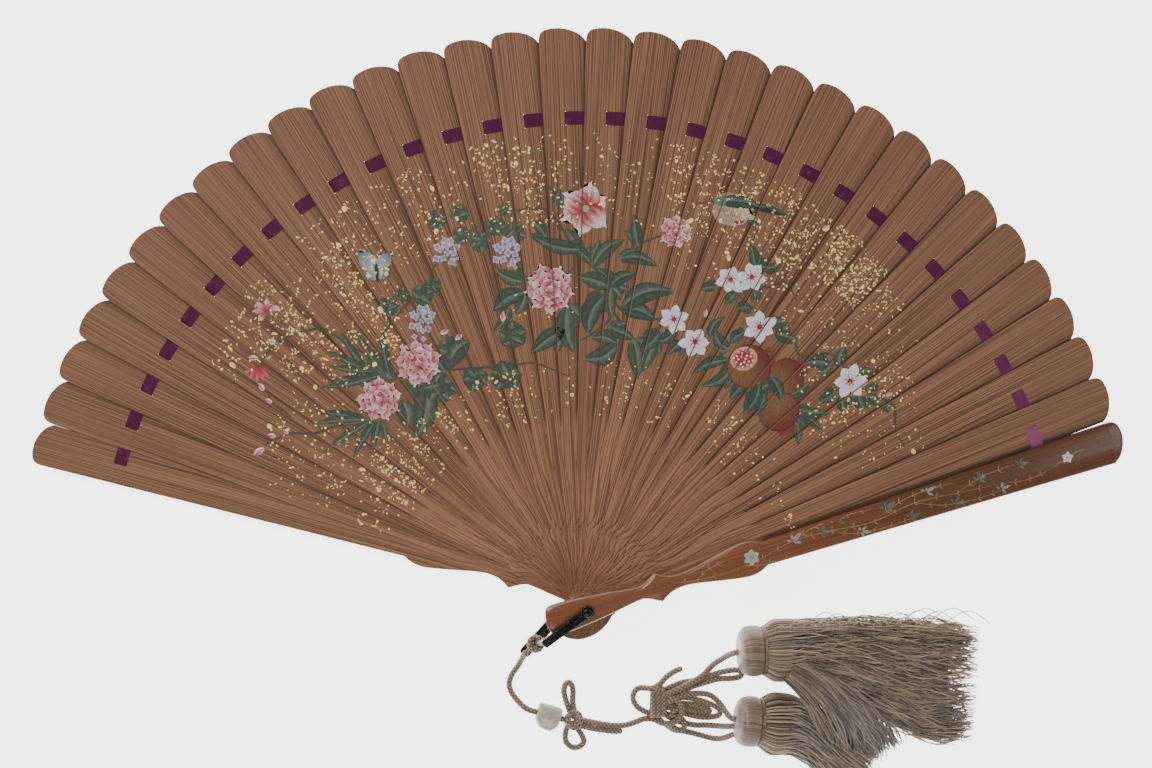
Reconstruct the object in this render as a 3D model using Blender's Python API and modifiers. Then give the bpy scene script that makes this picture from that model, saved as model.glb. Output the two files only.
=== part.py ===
"""Folding fan of thin wooden leaves on a rivet, with a metal bail, a knotted cord and two tassels.

Metres, +Z up.  The open fan lies on its back.  The origin is the middle of the rivet's rear face,
+Y is the middle of the open fan and Z is the axis that every leaf and the bail turn on.
"""

import math

import bmesh
import bpy
from mathutils import Matrix, Vector

MM = 0.001

# ---------------------------------------------------------------- leaves
BLADE_COUNT = 30
SPREAD = math.radians(146.0)
LEAF_LENGTH = 231.0 * MM
BLADE_THICKNESS = 0.55 * MM
GUARD_THICKNESS = 3.0 * MM
LEAF_GAP = 0.2 * MM
BLADE_TIP_HALF = 9.4 * MM
GUARD_TIP_HALF = 8.7 * MM
BLADE_STEP_HALF = 6.2 * MM
GUARD_STEP_HALF = 5.0 * MM
STEP_AT = 76.0 * MM
SHOULDER_AT = 68.0 * MM
SHOULDER_HALF = 7.3 * MM
WAIST_AT = 41.0 * MM
WAIST_HALF = 2.9 * MM
CUSP_AT = 30.5 * MM
CUSP_HALF = 6.2 * MM
NECK_AT = 21.0 * MM
NECK_HALF = 2.8 * MM
HEAD_HALF = 6.2 * MM
HEAD_LENGTH = 14.9 * MM
GUARD_HEAD_EXTRA = 2.5 * MM

# ---------------------------------------------------------------- ribbon
RIBBON_RADIUS = 196.4 * MM
RIBBON_WIDTH = 5.2 * MM
RIBBON_THICKNESS = 0.08 * MM
SLIT_LENGTH = 6.4 * MM
SLIT_WIDTH = 0.8 * MM

# ---------------------------------------------------------------- rivet and bail
SHANK_RADIUS = 1.3 * MM
PIVOT_CLEARANCE = 0.3 * MM
REAR_HEAD_RADIUS = 3.2 * MM
REAR_HEAD_HEIGHT = 1.0 * MM
FRONT_HEAD_RADIUS = 2.05 * MM
FRONT_HEAD_HEIGHT = 1.0 * MM
ARM_THICKNESS = 1.4 * MM
ARM_GAP = 0.25 * MM
EYE_RADIUS = 2.6 * MM
FRONT_ARM_WIDTH = 3.6 * MM
REAR_ARM_WIDTH = 4.6 * MM
PIN_RADIUS = 1.1 * MM
PIN_SEAT = 0.3 * MM
PIN_TOP_AT = Vector((-16.4 * MM, -12.2 * MM))
PIN_FOOT_AT = Vector((-20.5 * MM, -22.9 * MM))
REAR_ARM_REACH = 37.0 * MM
FRONT_ARM_PAST_PIN = 1.6 * MM
FRONT_ARM_CORNER = 1.2 * MM
REAR_ARM_CORNER = 1.4 * MM
COLLAR_RADIUS = 2.0 * MM
COLLAR_HEIGHT = 2.2 * MM
END_RIVET_RADIUS = 0.9 * MM
END_RIVET_HEIGHT = 0.5 * MM
END_RIVET_INSET = 3.4 * MM

# ---------------------------------------------------------------- cord, bead and knots
CORD_DIAMETER = 2.2 * MM
CORD_GAP = 0.3 * MM
RING_HEIGHT = 9.0 * MM
BEAD_AT = Vector((-14.0 * MM, -54.0 * MM, 4.6 * MM))
BEAD_LENGTH = 10.8 * MM
BEAD_WIDTH = 11.4 * MM
BEAD_HEIGHT = 8.6 * MM
BEAD_AXIS = math.radians(-17.5)
BEAD_BORE = 2.9 * MM
BOW_HEIGHT = 3.8 * MM
KNOT_HEIGHT = 6.0 * MM
FOLD_HEIGHT = 4.2 * MM

# ---------------------------------------------------------------- tassels
CAP_RADIUS = 10.6 * MM
CAP_LENGTH = 9.6 * MM
COLLAR_BAND_RADIUS = 10.2 * MM
COLLAR_BAND_LENGTH = 1.4 * MM
BULGE_RADIUS = 12.8 * MM
BAND_GAP = 0.3 * MM
UPPER_CAP_AT = Vector((66.0 * MM, -24.6 * MM))
LOWER_CAP_AT = Vector((65.4 * MM, -55.2 * MM))
UPPER_HEADING = math.radians(-1.0)
LOWER_HEADING = math.radians(-7.0)

# ---------------------------------------------------------------- derived heights
REAR_ARM_FLOOR = REAR_HEAD_HEIGHT + ARM_GAP
REAR_GUARD_FLOOR = REAR_ARM_FLOOR + ARM_THICKNESS + ARM_GAP
BLADE_FLOOR = REAR_GUARD_FLOOR + GUARD_THICKNESS + LEAF_GAP
BLADE_PITCH = BLADE_THICKNESS + LEAF_GAP
FRONT_GUARD_FLOOR = BLADE_FLOOR + BLADE_COUNT * BLADE_PITCH
FRONT_GUARD_TOP = FRONT_GUARD_FLOOR + GUARD_THICKNESS
FRONT_ARM_FLOOR = FRONT_GUARD_TOP + ARM_GAP
FRONT_ARM_TOP = FRONT_ARM_FLOOR + ARM_THICKNESS
FRONT_HEAD_FLOOR = FRONT_ARM_TOP + ARM_GAP
PIN_LOW = REAR_ARM_FLOOR + ARM_THICKNESS + PIN_SEAT
PIN_HIGH = FRONT_ARM_FLOOR - PIN_SEAT
LEAF_STEP = SPREAD / (BLADE_COUNT + 1)
PIVOT_HOLE_RADIUS = SHANK_RADIUS + PIVOT_CLEARANCE
CORD_RADIUS = CORD_DIAMETER / 2

ROUND_SIDES = 20
SMALL_SIDES = 12
CORD_SIDES = 8


def leaf_angle(index):
    """Heading of a leaf in the open fan: 0 is the rear guard, BLADE_COUNT + 1 the front guard."""
    return math.pi / 2 + SPREAD / 2 - index * LEAF_STEP


def collection(name):
    found = bpy.data.collections.new(name)
    bpy.context.scene.collection.children.link(found)
    return found


def material(name, colour, roughness, metallic=0.0):
    made = bpy.data.materials.new(name)
    made.use_nodes = True
    shader = made.node_tree.nodes["Principled BSDF"]
    shader.inputs["Base Color"].default_value = (*colour, 1.0)
    shader.inputs["Roughness"].default_value = roughness
    shader.inputs["Metallic"].default_value = metallic
    return made


def place(home, name, data, finish, location=(0.0, 0.0, 0.0), turn=0.0, parent=None):
    """Put one named object in its collection, turned about Z."""
    made = bpy.data.objects.new(name, data)
    made.location = location
    made.rotation_euler = (0.0, 0.0, turn)
    made.parent = parent
    made.data.materials.append(finish)
    home.objects.link(made)
    return made


def mesh_from(bm, name):
    bmesh.ops.recalc_face_normals(bm, faces=bm.faces)
    mesh = bpy.data.meshes.new(name)
    bm.to_mesh(mesh)
    bm.free()
    return mesh


def arc(centre, radius, start, end, count):
    """Points along an arc, both ends included."""
    steps = [start + (end - start) * i / (count - 1) for i in range(count)]
    return [(centre[0] + radius * math.cos(a), centre[1] + radius * math.sin(a)) for a in steps]


def smooth_path(points, per_span):
    """Points on the smooth curve (Catmull-Rom) that runs through the given ones."""
    first = 2 * points[0] - points[1]
    last = 2 * points[-1] - points[-2]
    ring = [first, *points, last]
    out = []
    for i in range(1, len(ring) - 2):
        a, b, c, d = ring[i - 1 : i + 3]
        for k in range(per_span):
            t = k / per_span
            curve = 2 * b + (c - a) * t + (2 * a - 5 * b + 4 * c - d) * t * t
            out.append((curve + (3 * b - a - 3 * c + d) * t**3) / 2)
    return [*out, points[-1]]


def flat_shape(name, loops, thickness):
    """A flat outline with its holes, as a filled 2D curve of the given thickness."""
    data = bpy.data.curves.new(name, "CURVE")
    data.dimensions = "2D"
    data.fill_mode = "BOTH"
    data.extrude = thickness / 2
    for loop in loops:
        spline = data.splines.new("POLY")
        spline.points.add(len(loop) - 1)
        spline.use_cyclic_u = True
        for point, (x, y) in zip(spline.points, loop):
            point.co = (x, y, 0.0, 1.0)
    return data


def tube(name, points, radius):
    """A round cord through the points, with closed ends."""
    data = bpy.data.curves.new(name, "CURVE")
    data.dimensions = "3D"
    data.bevel_depth = radius
    data.bevel_resolution = 2
    data.use_fill_caps = True
    spline = data.splines.new("POLY")
    spline.points.add(len(points) - 1)
    for point, place_at in zip(spline.points, points):
        point.co = (*place_at, 1.0)
    return data


def turned(home, name, profile, finish, sides, location=(0.0, 0.0, 0.0)):
    """A turned piece: a profile of (radius, height) from top to bottom, swept about Z."""
    mesh = bpy.data.meshes.new(name)
    points = [(radius, 0.0, height) for radius, height in profile]
    mesh.from_pydata(points, [(i, i + 1) for i in range(len(points) - 1)], [])
    made = place(home, name, mesh, finish, location)
    screw = made.modifiers.new("turn", "SCREW")
    screw.axis = "Z"
    screw.steps = sides
    screw.render_steps = sides
    screw.use_merge_vertices = True
    screw.merge_threshold = 0.00001
    return made


def loft(name, rings):
    """Skin a row of rings, each with as many points as the last, and close both ends."""
    bm = bmesh.new()
    rows = [[bm.verts.new(point) for point in ring] for ring in rings]
    count = len(rows[0])
    for near, far in zip(rows, rows[1:]):
        for i in range(count):
            j = (i + 1) % count
            bm.faces.new((near[i], near[j], far[j], far[i]))
    bm.faces.new(rows[0])
    bm.faces.new(rows[-1])
    return mesh_from(bm, name)


# ---------------------------------------------------------------- leaves


def leaf_outline(tip_half, step_half, head_extra):
    """Outline of a leaf that points along +X, rivet hole at the origin, +Y its left edge.

    From the rounded head it narrows to a neck, flares to a pointed cusp and a rounded shoulder,
    steps in, widens evenly to the end and finishes in a rounded tip that leans to the left.
    """
    head = HEAD_LENGTH + head_extra
    head_side = math.asin(HEAD_HALF / head)
    left = [
        (-6.0 * MM, HEAD_HALF),
        (8.0 * MM, HEAD_HALF - 1.5 * MM),
        (NECK_AT, NECK_HALF),
        (NECK_AT + 4.0 * MM, NECK_HALF + 0.4 * MM),
        (CUSP_AT, CUSP_HALF),
        (CUSP_AT + 3.5 * MM, CUSP_HALF - 2.2 * MM),
        (WAIST_AT - 3.0 * MM, WAIST_HALF),
        (WAIST_AT + 3.0 * MM, WAIST_HALF + 0.1 * MM),
        (WAIST_AT + 15.0 * MM, SHOULDER_HALF - 1.9 * MM),
        (SHOULDER_AT - 4.0 * MM, SHOULDER_HALF - 0.4 * MM),
        (SHOULDER_AT, SHOULDER_HALF),
        (STEP_AT - 4.0 * MM, SHOULDER_HALF - 0.5 * MM),
        (STEP_AT, step_half),
    ]
    right = [(u, -v) for u, v in reversed(left)]
    tip = [
        (LEAF_LENGTH - 4.4 * MM, tip_half),
        (LEAF_LENGTH - 2.2 * MM, tip_half - 0.6 * MM),
        (LEAF_LENGTH - 0.7 * MM, tip_half - 2.4 * MM),
        (LEAF_LENGTH, tip_half * 0.3),
        (LEAF_LENGTH - 0.4 * MM, tip_half * -0.15),
        (LEAF_LENGTH - 1.7 * MM, tip_half * -0.55),
        (LEAF_LENGTH - 3.4 * MM, tip_half * -0.82),
        (LEAF_LENGTH - 5.6 * MM, -tip_half),
    ]
    back = arc((0.0, 0.0), head, math.pi + head_side, math.pi - head_side, 7)
    return [*left, *tip, *right, *back]


def round_hole(radius):
    """A hole about the rivet's axis."""
    return arc((0.0, 0.0), radius, 0.0, math.tau * (SMALL_SIDES - 1) / SMALL_SIDES, SMALL_SIDES)


def leaf_holes(with_slit):
    holes = [round_hole(PIVOT_HOLE_RADIUS)]
    if with_slit:
        near = RIBBON_RADIUS - SLIT_LENGTH / 2
        far = RIBBON_RADIUS + SLIT_LENGTH / 2
        side = SLIT_WIDTH / 2
        holes.append([(near, -side), (far, -side), (far, side), (near, side)])
    return holes


def make_leaves(home, wood, lacquer, axis):
    blade = [leaf_outline(BLADE_TIP_HALF, BLADE_STEP_HALF, 0.0), *leaf_holes(True)]
    guard = [leaf_outline(GUARD_TIP_HALF, GUARD_STEP_HALF, GUARD_HEAD_EXTRA), *leaf_holes(False)]
    blade_shape = flat_shape("blade", blade, BLADE_THICKNESS)
    rear_shape = flat_shape("rear_guard", guard, GUARD_THICKNESS)
    front_shape = flat_shape("front_guard", guard, GUARD_THICKNESS)
    low = REAR_GUARD_FLOOR + GUARD_THICKNESS / 2
    place(home, "rear_guard", rear_shape, lacquer, (0.0, 0.0, low), leaf_angle(0), axis)
    blade_shape.materials.append(wood)
    for index in range(1, BLADE_COUNT + 1):
        height = BLADE_FLOOR + (index - 1) * BLADE_PITCH + BLADE_THICKNESS / 2
        made = bpy.data.objects.new(f"blade_{index:02d}", blade_shape)
        made.location = (0.0, 0.0, height)
        made.rotation_euler = (0.0, 0.0, leaf_angle(index))
        made.parent = axis
        home.objects.link(made)
    high = FRONT_GUARD_FLOOR + GUARD_THICKNESS / 2
    turn = leaf_angle(BLADE_COUNT + 1)
    place(home, "front_guard", front_shape, lacquer, (0.0, 0.0, high), turn, axis)


def make_ribbon(home, silk):
    """One ribbon laid on each leaf from its slit, under the next leaf and up through its slit."""
    bm = bmesh.new()
    half = RIBBON_WIDTH / 2
    rows = []
    gap_height = BLADE_FLOOR - LEAF_GAP / 2
    for index in range(BLADE_COUNT + 2):
        heights = [gap_height + (index - 1) * BLADE_PITCH, gap_height + index * BLADE_PITCH]
        if index == 0:
            heights = heights[1:]
        if index == BLADE_COUNT + 1:
            heights = heights[:1]
        heading = leaf_angle(index)
        ray = Vector((math.cos(heading), math.sin(heading), 0.0))
        for height in heights:
            lift = Vector((0.0, 0.0, height))
            inner = bm.verts.new(ray * (RIBBON_RADIUS - half) + lift)
            outer = bm.verts.new(ray * (RIBBON_RADIUS + half) + lift)
            rows.append((inner, outer))
    for (a, b), (c, d) in zip(rows, rows[1:]):
        bm.faces.new((a, b, d, c))
    made = place(home, "ribbon", mesh_from(bm, "ribbon"), silk)
    wall = made.modifiers.new("thickness", "SOLIDIFY")
    wall.thickness = RIBBON_THICKNESS
    wall.offset = 0.0
    wall.use_even_offset = True


# ---------------------------------------------------------------- rivet and bail


def make_rivet(home, metal):
    top = FRONT_HEAD_FLOOR + FRONT_HEAD_HEIGHT
    dome = [
        (0.0, top),
        (FRONT_HEAD_RADIUS * 0.5, top - FRONT_HEAD_HEIGHT * 0.12),
        (FRONT_HEAD_RADIUS * 0.87, top - FRONT_HEAD_HEIGHT * 0.45),
        (FRONT_HEAD_RADIUS, FRONT_HEAD_FLOOR),
    ]
    shank = [(SHANK_RADIUS, FRONT_HEAD_FLOOR), (SHANK_RADIUS, REAR_HEAD_HEIGHT)]
    rear = [(REAR_HEAD_RADIUS, REAR_HEAD_HEIGHT), (REAR_HEAD_RADIUS, 0.0), (0.0, 0.0)]
    turned(home, "rivet", [*dome, *shank, *rear], metal, ROUND_SIDES)


def arm_outline(reach, width, foot_radius):
    """A strap from the rivet eye at the origin to a rounded end, along +X."""
    half = width / 2
    root = math.asin(half / EYE_RADIUS)
    eye = arc((0.0, 0.0), EYE_RADIUS, root, math.tau - root, 13)
    corner = min(foot_radius, half)
    low = arc((reach - corner, -half + corner), corner, -math.pi / 2, 0.0, 4)
    high = arc((reach - corner, half - corner), corner, 0.0, math.pi / 2, 4)
    return [*eye, *low, *high]


def make_bail(home, metal, axis):
    """Two straps on the rivet, one over and one under the fan, joined by a leaning pin."""
    top_reach = PIN_TOP_AT.length
    top_turn = math.atan2(PIN_TOP_AT.y, PIN_TOP_AT.x)
    foot_turn = math.atan2(PIN_FOOT_AT.y, PIN_FOOT_AT.x)
    eye_hole = round_hole(PIVOT_HOLE_RADIUS)

    front = [arm_outline(top_reach + FRONT_ARM_PAST_PIN, FRONT_ARM_WIDTH, FRONT_ARM_CORNER), eye_hole]
    front_shape = flat_shape("bail_front_arm", front, ARM_THICKNESS)
    height = FRONT_ARM_FLOOR + ARM_THICKNESS / 2
    place(home, "bail_front_arm", front_shape, metal, (0.0, 0.0, height), top_turn, axis)

    rear = [arm_outline(REAR_ARM_REACH, REAR_ARM_WIDTH, REAR_ARM_CORNER), eye_hole]
    rear_shape = flat_shape("bail_rear_arm", rear, ARM_THICKNESS)
    height = REAR_ARM_FLOOR + ARM_THICKNESS / 2
    place(home, "bail_rear_arm", rear_shape, metal, (0.0, 0.0, height), foot_turn, axis)

    length = PIN_HIGH - PIN_LOW
    rings = []
    stations = [
        (0.0, COLLAR_RADIUS),
        (COLLAR_HEIGHT, COLLAR_RADIUS),
        (COLLAR_HEIGHT, PIN_RADIUS),
        (length - COLLAR_HEIGHT, PIN_RADIUS),
        (length - COLLAR_HEIGHT, COLLAR_RADIUS),
        (length, COLLAR_RADIUS),
    ]
    for rise, radius in stations:
        middle = pin_point(PIN_LOW + rise)
        steps = [math.tau * i / SMALL_SIDES for i in range(SMALL_SIDES)]
        ring = [middle + Vector((math.cos(a), math.sin(a), 0.0)) * radius for a in steps]
        rings.append(ring)
    place(home, "bail_pin", loft("bail_pin", rings), metal, parent=axis)

    ray = Vector((math.cos(foot_turn), math.sin(foot_turn), 0.0))
    at = ray * (REAR_ARM_REACH - END_RIVET_INSET)
    rivet_top = PIN_LOW + END_RIVET_HEIGHT
    profile = [
        (0.0, rivet_top),
        (END_RIVET_RADIUS * 0.7, rivet_top - END_RIVET_HEIGHT * 0.3),
        (END_RIVET_RADIUS, PIN_LOW),
        (0.0, PIN_LOW),
    ]
    made = turned(home, "bail_end_rivet", profile, metal, SMALL_SIDES, at)
    made.parent = axis


def pin_point(height):
    """Middle of the leaning pin at a height."""
    share = (height - PIN_LOW) / (PIN_HIGH - PIN_LOW)
    return Vector((*PIN_FOOT_AT.lerp(PIN_TOP_AT, share), height))


# ---------------------------------------------------------------- cord, bead and knots


def make_ring(home, silk, axis):
    """The turn of cord round the pin."""
    bm = bmesh.new()
    middle = pin_point(RING_HEIGHT)
    major = PIN_RADIUS + CORD_GAP + CORD_RADIUS
    lean = (pin_point(RING_HEIGHT + MM) - middle).to_track_quat("Z", "Y").to_matrix().to_4x4()
    rows = []
    for i in range(SMALL_SIDES):
        around = math.tau * i / SMALL_SIDES
        row = []
        for k in range(CORD_SIDES):
            tilt = math.tau * k / CORD_SIDES
            reach = major + CORD_RADIUS * math.cos(tilt)
            point = (reach * math.cos(around), reach * math.sin(around), CORD_RADIUS * math.sin(tilt))
            row.append(bm.verts.new(point))
        rows.append(row)
    for i in range(SMALL_SIDES):
        near = rows[i]
        far = rows[(i + 1) % SMALL_SIDES]
        for k in range(CORD_SIDES):
            j = (k + 1) % CORD_SIDES
            bm.faces.new((near[k], near[j], far[j], far[k]))
    bmesh.ops.transform(bm, matrix=Matrix.Translation(middle) @ lean, verts=bm.verts)
    place(home, "cord_ring", mesh_from(bm, "cord_ring"), silk, parent=axis)


def millimetres(rows):
    return [Vector(row) * MM for row in rows]


# Each free stretch of cord runs through these points, in millimetres.
CORD_ROUTES = {
    "cord_lead": [
        (-23.4, -24.4, 7.4), (-24.9, -28.2, 4.0), (-26.8, -32.6, 1.6), (-29.4, -36.6, 1.15),
        (-30.6, -40.8, 1.15), (-29.4, -44.8, 1.5), (-26.6, -48.2, 2.9), (-23.2, -50.9, 4.3),
        (-19.0, -52.42, 4.6), (-14.0, -54.0, 4.6), (-7.9, -55.9, 4.4),
    ],
    "cord_middle": [
        (0.6, -57.8, 1.6), (5.0, -58.9, 1.3), (10.0, -60.0, 1.15), (15.0, -60.8, 1.15),
        (20.0, -60.6, 1.15), (24.3, -59.3, 1.3), (27.6, -57.9, 1.8),
    ],
    "cord_middle_return": [
        (2.2, -60.9, 1.4), (5.6, -61.8, 1.15), (10.0, -62.6, 1.15), (14.4, -63.3, 1.15),
        (18.4, -63.2, 1.15),
    ],
    "cord_small_loop": [
        (27.4, -44.0, 1.8), (25.2, -44.1, 1.5), (23.3, -45.9, 1.3), (22.8, -49.0, 1.3),
        (24.4, -52.2, 1.4), (27.3, -54.2, 1.8),
    ],
    "cord_tail": [
        (34.2, -41.6, 3.4), (37.0, -39.2, 2.4), (40.4, -37.2, 1.5), (44.2, -35.6, 1.15),
    ],
    "upper_tassel_cord": [
        (54.6, -37.4, 1.6), (57.6, -34.2, 2.4), (60.4, -31.0, 4.6), (62.6, -28.0, 8.2),
        (64.6, -26.0, 11.2),
    ],
    "lower_tassel_cord_1": [
        (55.4, -47.4, 1.6), (58.6, -49.6, 2.2), (61.0, -52.0, 4.4), (62.4, -53.8, 8.0),
        (63.7, -54.8, 11.0),
    ],
    "lower_tassel_cord_2": [
        (49.4, -61.4, 1.4), (54.6, -61.6, 1.6), (59.6, -61.4, 3.4), (62.0, -60.4, 6.6),
        (63.8, -59.2, 9.6),
    ],
    "lower_tassel_cord_3": [
        (48.6, -65.0, 1.3), (53.0, -66.4, 1.15), (58.0, -67.8, 1.4), (61.4, -67.2, 3.2),
        (63.8, -65.2, 6.0),
    ],
}


def make_cords(home, silk):
    for name, route in CORD_ROUTES.items():
        path = smooth_path(millimetres(route), 3)
        place(home, name, tube(name, path, CORD_RADIUS), silk)


def oval(width, height, sides, power=1.0):
    """A closed ring of an oval's points, across and up."""
    steps = [math.tau * i / sides for i in range(sides)]
    out = []
    for a in steps:
        x = math.copysign(abs(math.cos(a)) ** power, math.cos(a)) * width / 2
        z = math.copysign(abs(math.sin(a)) ** power, math.sin(a)) * height / 2
        out.append((x, z))
    return out


def make_bead(home, stone, slider):
    """A pebble-shaped stone, bored along its length, wider below the cord than above it."""
    rings = []
    side = Vector((-math.sin(BEAD_AXIS), math.cos(BEAD_AXIS), 0.0))
    ahead = Vector((math.cos(BEAD_AXIS), math.sin(BEAD_AXIS), 0.0))
    half = BEAD_LENGTH / 2
    # (place along the bead, width share, height share, sideways shift share)
    stations = [
        (-1.0, 0.56, 0.56, 0.10), (-0.8, 0.78, 0.82, 0.04), (-0.3, 0.98, 1.0, -0.06),
        (0.3, 1.0, 1.0, -0.08), (0.8, 0.84, 0.84, 0.0), (1.0, 0.6, 0.58, 0.08),
    ]
    for along, wide, tall, shift in stations:
        middle = ahead * half * along + side * BEAD_WIDTH * shift
        ring = oval(BEAD_WIDTH * wide, BEAD_HEIGHT * tall, 16)
        rings.append([middle + side * x + Vector((0.0, 0.0, z)) for x, z in ring])
    body = place(home, "bead", loft("bead", rings), stone, parent=slider)
    bm = bmesh.new()
    turn = ahead.to_track_quat("Z", "Y").to_matrix().to_4x4()
    radius = BEAD_BORE / 2
    bmesh.ops.create_cone(
        bm, cap_ends=True, segments=SMALL_SIDES, radius1=radius, radius2=radius,
        depth=BEAD_LENGTH * 1.5, matrix=turn,
    )
    return body, mesh_from(bm, "bead_bore")


def bore_bead(body, bore, cutters, slider):
    cutter = bpy.data.objects.new("bead_bore", bore)
    cutter.parent = slider
    cutter.hide_render = True
    cutter.display_type = "WIRE"
    cutters.objects.link(cutter)
    cut = body.modifiers.new("bore", "BOOLEAN")
    cut.operation = "DIFFERENCE"
    cut.solver = "EXACT"
    cut.object = cutter


def make_knots(home, silk):
    """Each knot or folded hank of cord as one flat solid of its outer shape."""
    bow = [
        (-5.9, -54.6), (-7.6, -48.0), (-8.4, -43.2), (-7.2, -40.4), (-4.6, -39.8), (-2.6, -41.6),
        (-1.9, -46.0), (-1.7, -51.0), (-0.9, -55.6), (-0.6, -60.6), (1.8, -63.8), (3.0, -67.0),
        (1.4, -70.2), (-3.0, -71.2), (-6.8, -69.4), (-7.8, -64.6), (-6.6, -58.4),
    ]
    knot = [
        (28.9, -42.8), (34.0, -43.2), (40.0, -43.4), (45.6, -44.6), (49.4, -47.6), (49.6, -53.0),
        (46.4, -58.0), (47.2, -62.6), (45.4, -65.4), (40.4, -65.2), (35.0, -62.6), (30.6, -58.8),
        (29.0, -55.2), (28.9, -49.0),
    ]
    upper_fold = [(36.4, -42.6), (44.6, -39.4), (53.6, -39.6), (62.0, -36.8), (69.0, -36.0),
                  (71.4, -37.8), (71.2, -40.6), (68.4, -42.2), (60.0, -42.4), (54.0, -43.8),
                  (49.8, -44.2), (46.4, -42.6)]
    lower_fold = [(50.2, -48.6), (55.0, -50.6), (60.2, -53.2), (61.8, -56.0), (60.6, -58.4),
                  (56.0, -59.2), (50.4, -59.0), (47.8, -57.6), (50.4, -53.4)]
    for name, outline, height in (
        ("bow_knot", bow, BOW_HEIGHT),
        ("big_knot", knot, KNOT_HEIGHT),
        ("upper_fold", upper_fold, FOLD_HEIGHT),
        ("lower_fold", lower_fold, FOLD_HEIGHT),
    ):
        loop = [(x * MM, y * MM) for x, y in outline]
        place(home, name, flat_shape(name, [loop], height), silk, (0.0, 0.0, height / 2))


# ---------------------------------------------------------------- tassels


def lay_down(made, at, heading):
    """Turn a piece made along +Z so that it lies on its side, pointing along the heading."""
    made.rotation_euler = (0.0, math.pi / 2, heading)
    made.location = (at.x, at.y, BULGE_RADIUS)


def make_tassel(home, side, at, heading, silk):
    """Wrapped cap, bound neck and skirt of threads, lying on their side."""
    cap = [
        (0.0, CAP_LENGTH),
        (CAP_RADIUS * 0.94, CAP_LENGTH),
        (CAP_RADIUS, CAP_LENGTH * 0.72),
        (CAP_RADIUS * 0.98, CAP_LENGTH * 0.42),
        (CAP_RADIUS * 0.86, CAP_LENGTH * 0.14),
        (CAP_RADIUS * 0.6, CAP_LENGTH * 0.02),
        (0.0, 0.0),
    ]
    made = turned(home, f"{side}_tassel_cap", cap, silk, ROUND_SIDES)
    lay_down(made, at, heading)
    start = CAP_LENGTH + BAND_GAP
    end = start + COLLAR_BAND_LENGTH
    band = [
        (0.0, end), (COLLAR_BAND_RADIUS * 0.95, end), (COLLAR_BAND_RADIUS, (start + end) / 2),
        (COLLAR_BAND_RADIUS * 0.95, start), (0.0, start),
    ]
    made = turned(home, f"{side}_tassel_collar", band, silk, ROUND_SIDES)
    lay_down(made, at, heading)
    return end + BAND_GAP


def make_skirt(home, side, at, heading, start, stations, silk):
    """Threads of one tassel as a soft solid: round at the neck, flat and spread at the end.

    A station is (distance from the neck, sideways shift, width, height), in millimetres.
    """
    ahead = Vector((math.cos(heading), math.sin(heading), 0.0))
    across = Vector((-math.sin(heading), math.cos(heading), 0.0))
    rings = []
    for along, shift, width, height in stations:
        floor = height / 2 if along > 8 else BULGE_RADIUS / MM
        middle = Vector((at.x, at.y, floor * MM)) + ahead * (start + along * MM) + across * shift * MM
        ring = oval(width * MM, height * MM, 14, 0.8 if along > 8 else 1.0)
        rings.append([middle + across * x + Vector((0.0, 0.0, z)) for x, z in ring])
    name = f"{side}_tassel_skirt"
    place(home, name, loft(name, rings), silk)


UPPER_SKIRT = [
    (0.0, 0.0, 19.5, 19.5), (3.0, 0.0, 24.4, 24.4), (7.0, 0.0, 25.6, 25.6), (16.0, -0.4, 25.0, 22.0),
    (28.0, -2.0, 29.0, 19.0), (44.0, -7.0, 38.0, 15.0), (62.0, -13.5, 49.0, 11.5),
    (80.0, -18.0, 55.0, 8.6), (97.0, -19.5, 50.0, 6.0),
]
LOWER_SKIRT = [
    (0.0, 0.0, 19.5, 19.5), (3.0, 0.0, 24.4, 24.4), (7.0, 0.0, 25.6, 25.6), (13.0, -0.6, 24.6, 22.0),
    (22.0, -5.0, 24.0, 18.0), (32.0, -12.4, 27.0, 14.0), (42.0, -19.0, 27.0, 10.5),
    (54.0, -26.0, 24.0, 7.0),
]


def make_tassels(home, silk):
    for side, at, heading, stations in (
        ("upper", UPPER_CAP_AT, UPPER_HEADING, UPPER_SKIRT),
        ("lower", LOWER_CAP_AT, LOWER_HEADING, LOWER_SKIRT),
    ):
        start = make_tassel(home, side, at, heading, silk)
        make_skirt(home, side, at, heading, start, stations, silk)


def empty(home, name, at=(0.0, 0.0, 0.0)):
    made = bpy.data.objects.new(name, None)
    made.location = at
    home.objects.link(made)
    return made


def main():
    for old in list(bpy.data.objects):
        bpy.data.objects.remove(old, do_unlink=True)
    home = collection("hand_fan")
    cutters = collection("cutters")

    wood = material("plain_wood", (0.26, 0.15, 0.095), 0.62)
    lacquer = material("lacquered_wood", (0.22, 0.075, 0.03), 0.25)
    ribbon_silk = material("ribbon_silk", (0.09, 0.015, 0.07), 0.6)
    metal = material("dark_metal", (0.16, 0.17, 0.19), 0.35, 1.0)
    cord_silk = material("cord_silk", (0.28, 0.21, 0.15), 0.75)
    tassel_silk = material("tassel_silk", (0.36, 0.31, 0.26), 0.45)
    stone = material("bead_stone", (0.62, 0.64, 0.54), 0.3)

    axis = empty(home, "rivet_axis")
    make_leaves(home, wood, lacquer, axis)
    make_ribbon(home, ribbon_silk)
    make_rivet(home, metal)
    make_bail(home, metal, axis)
    make_ring(home, cord_silk, axis)
    make_cords(home, cord_silk)
    slider = empty(home, "bead_place", BEAD_AT)
    body, bore = make_bead(home, stone, slider)
    bore_bead(body, bore, cutters, slider)
    make_knots(home, cord_silk)
    make_tassels(home, tassel_silk)


main()
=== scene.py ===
import math
import random

import bmesh
import bpy
import numpy as np
from mathutils import Matrix, Vector


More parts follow.
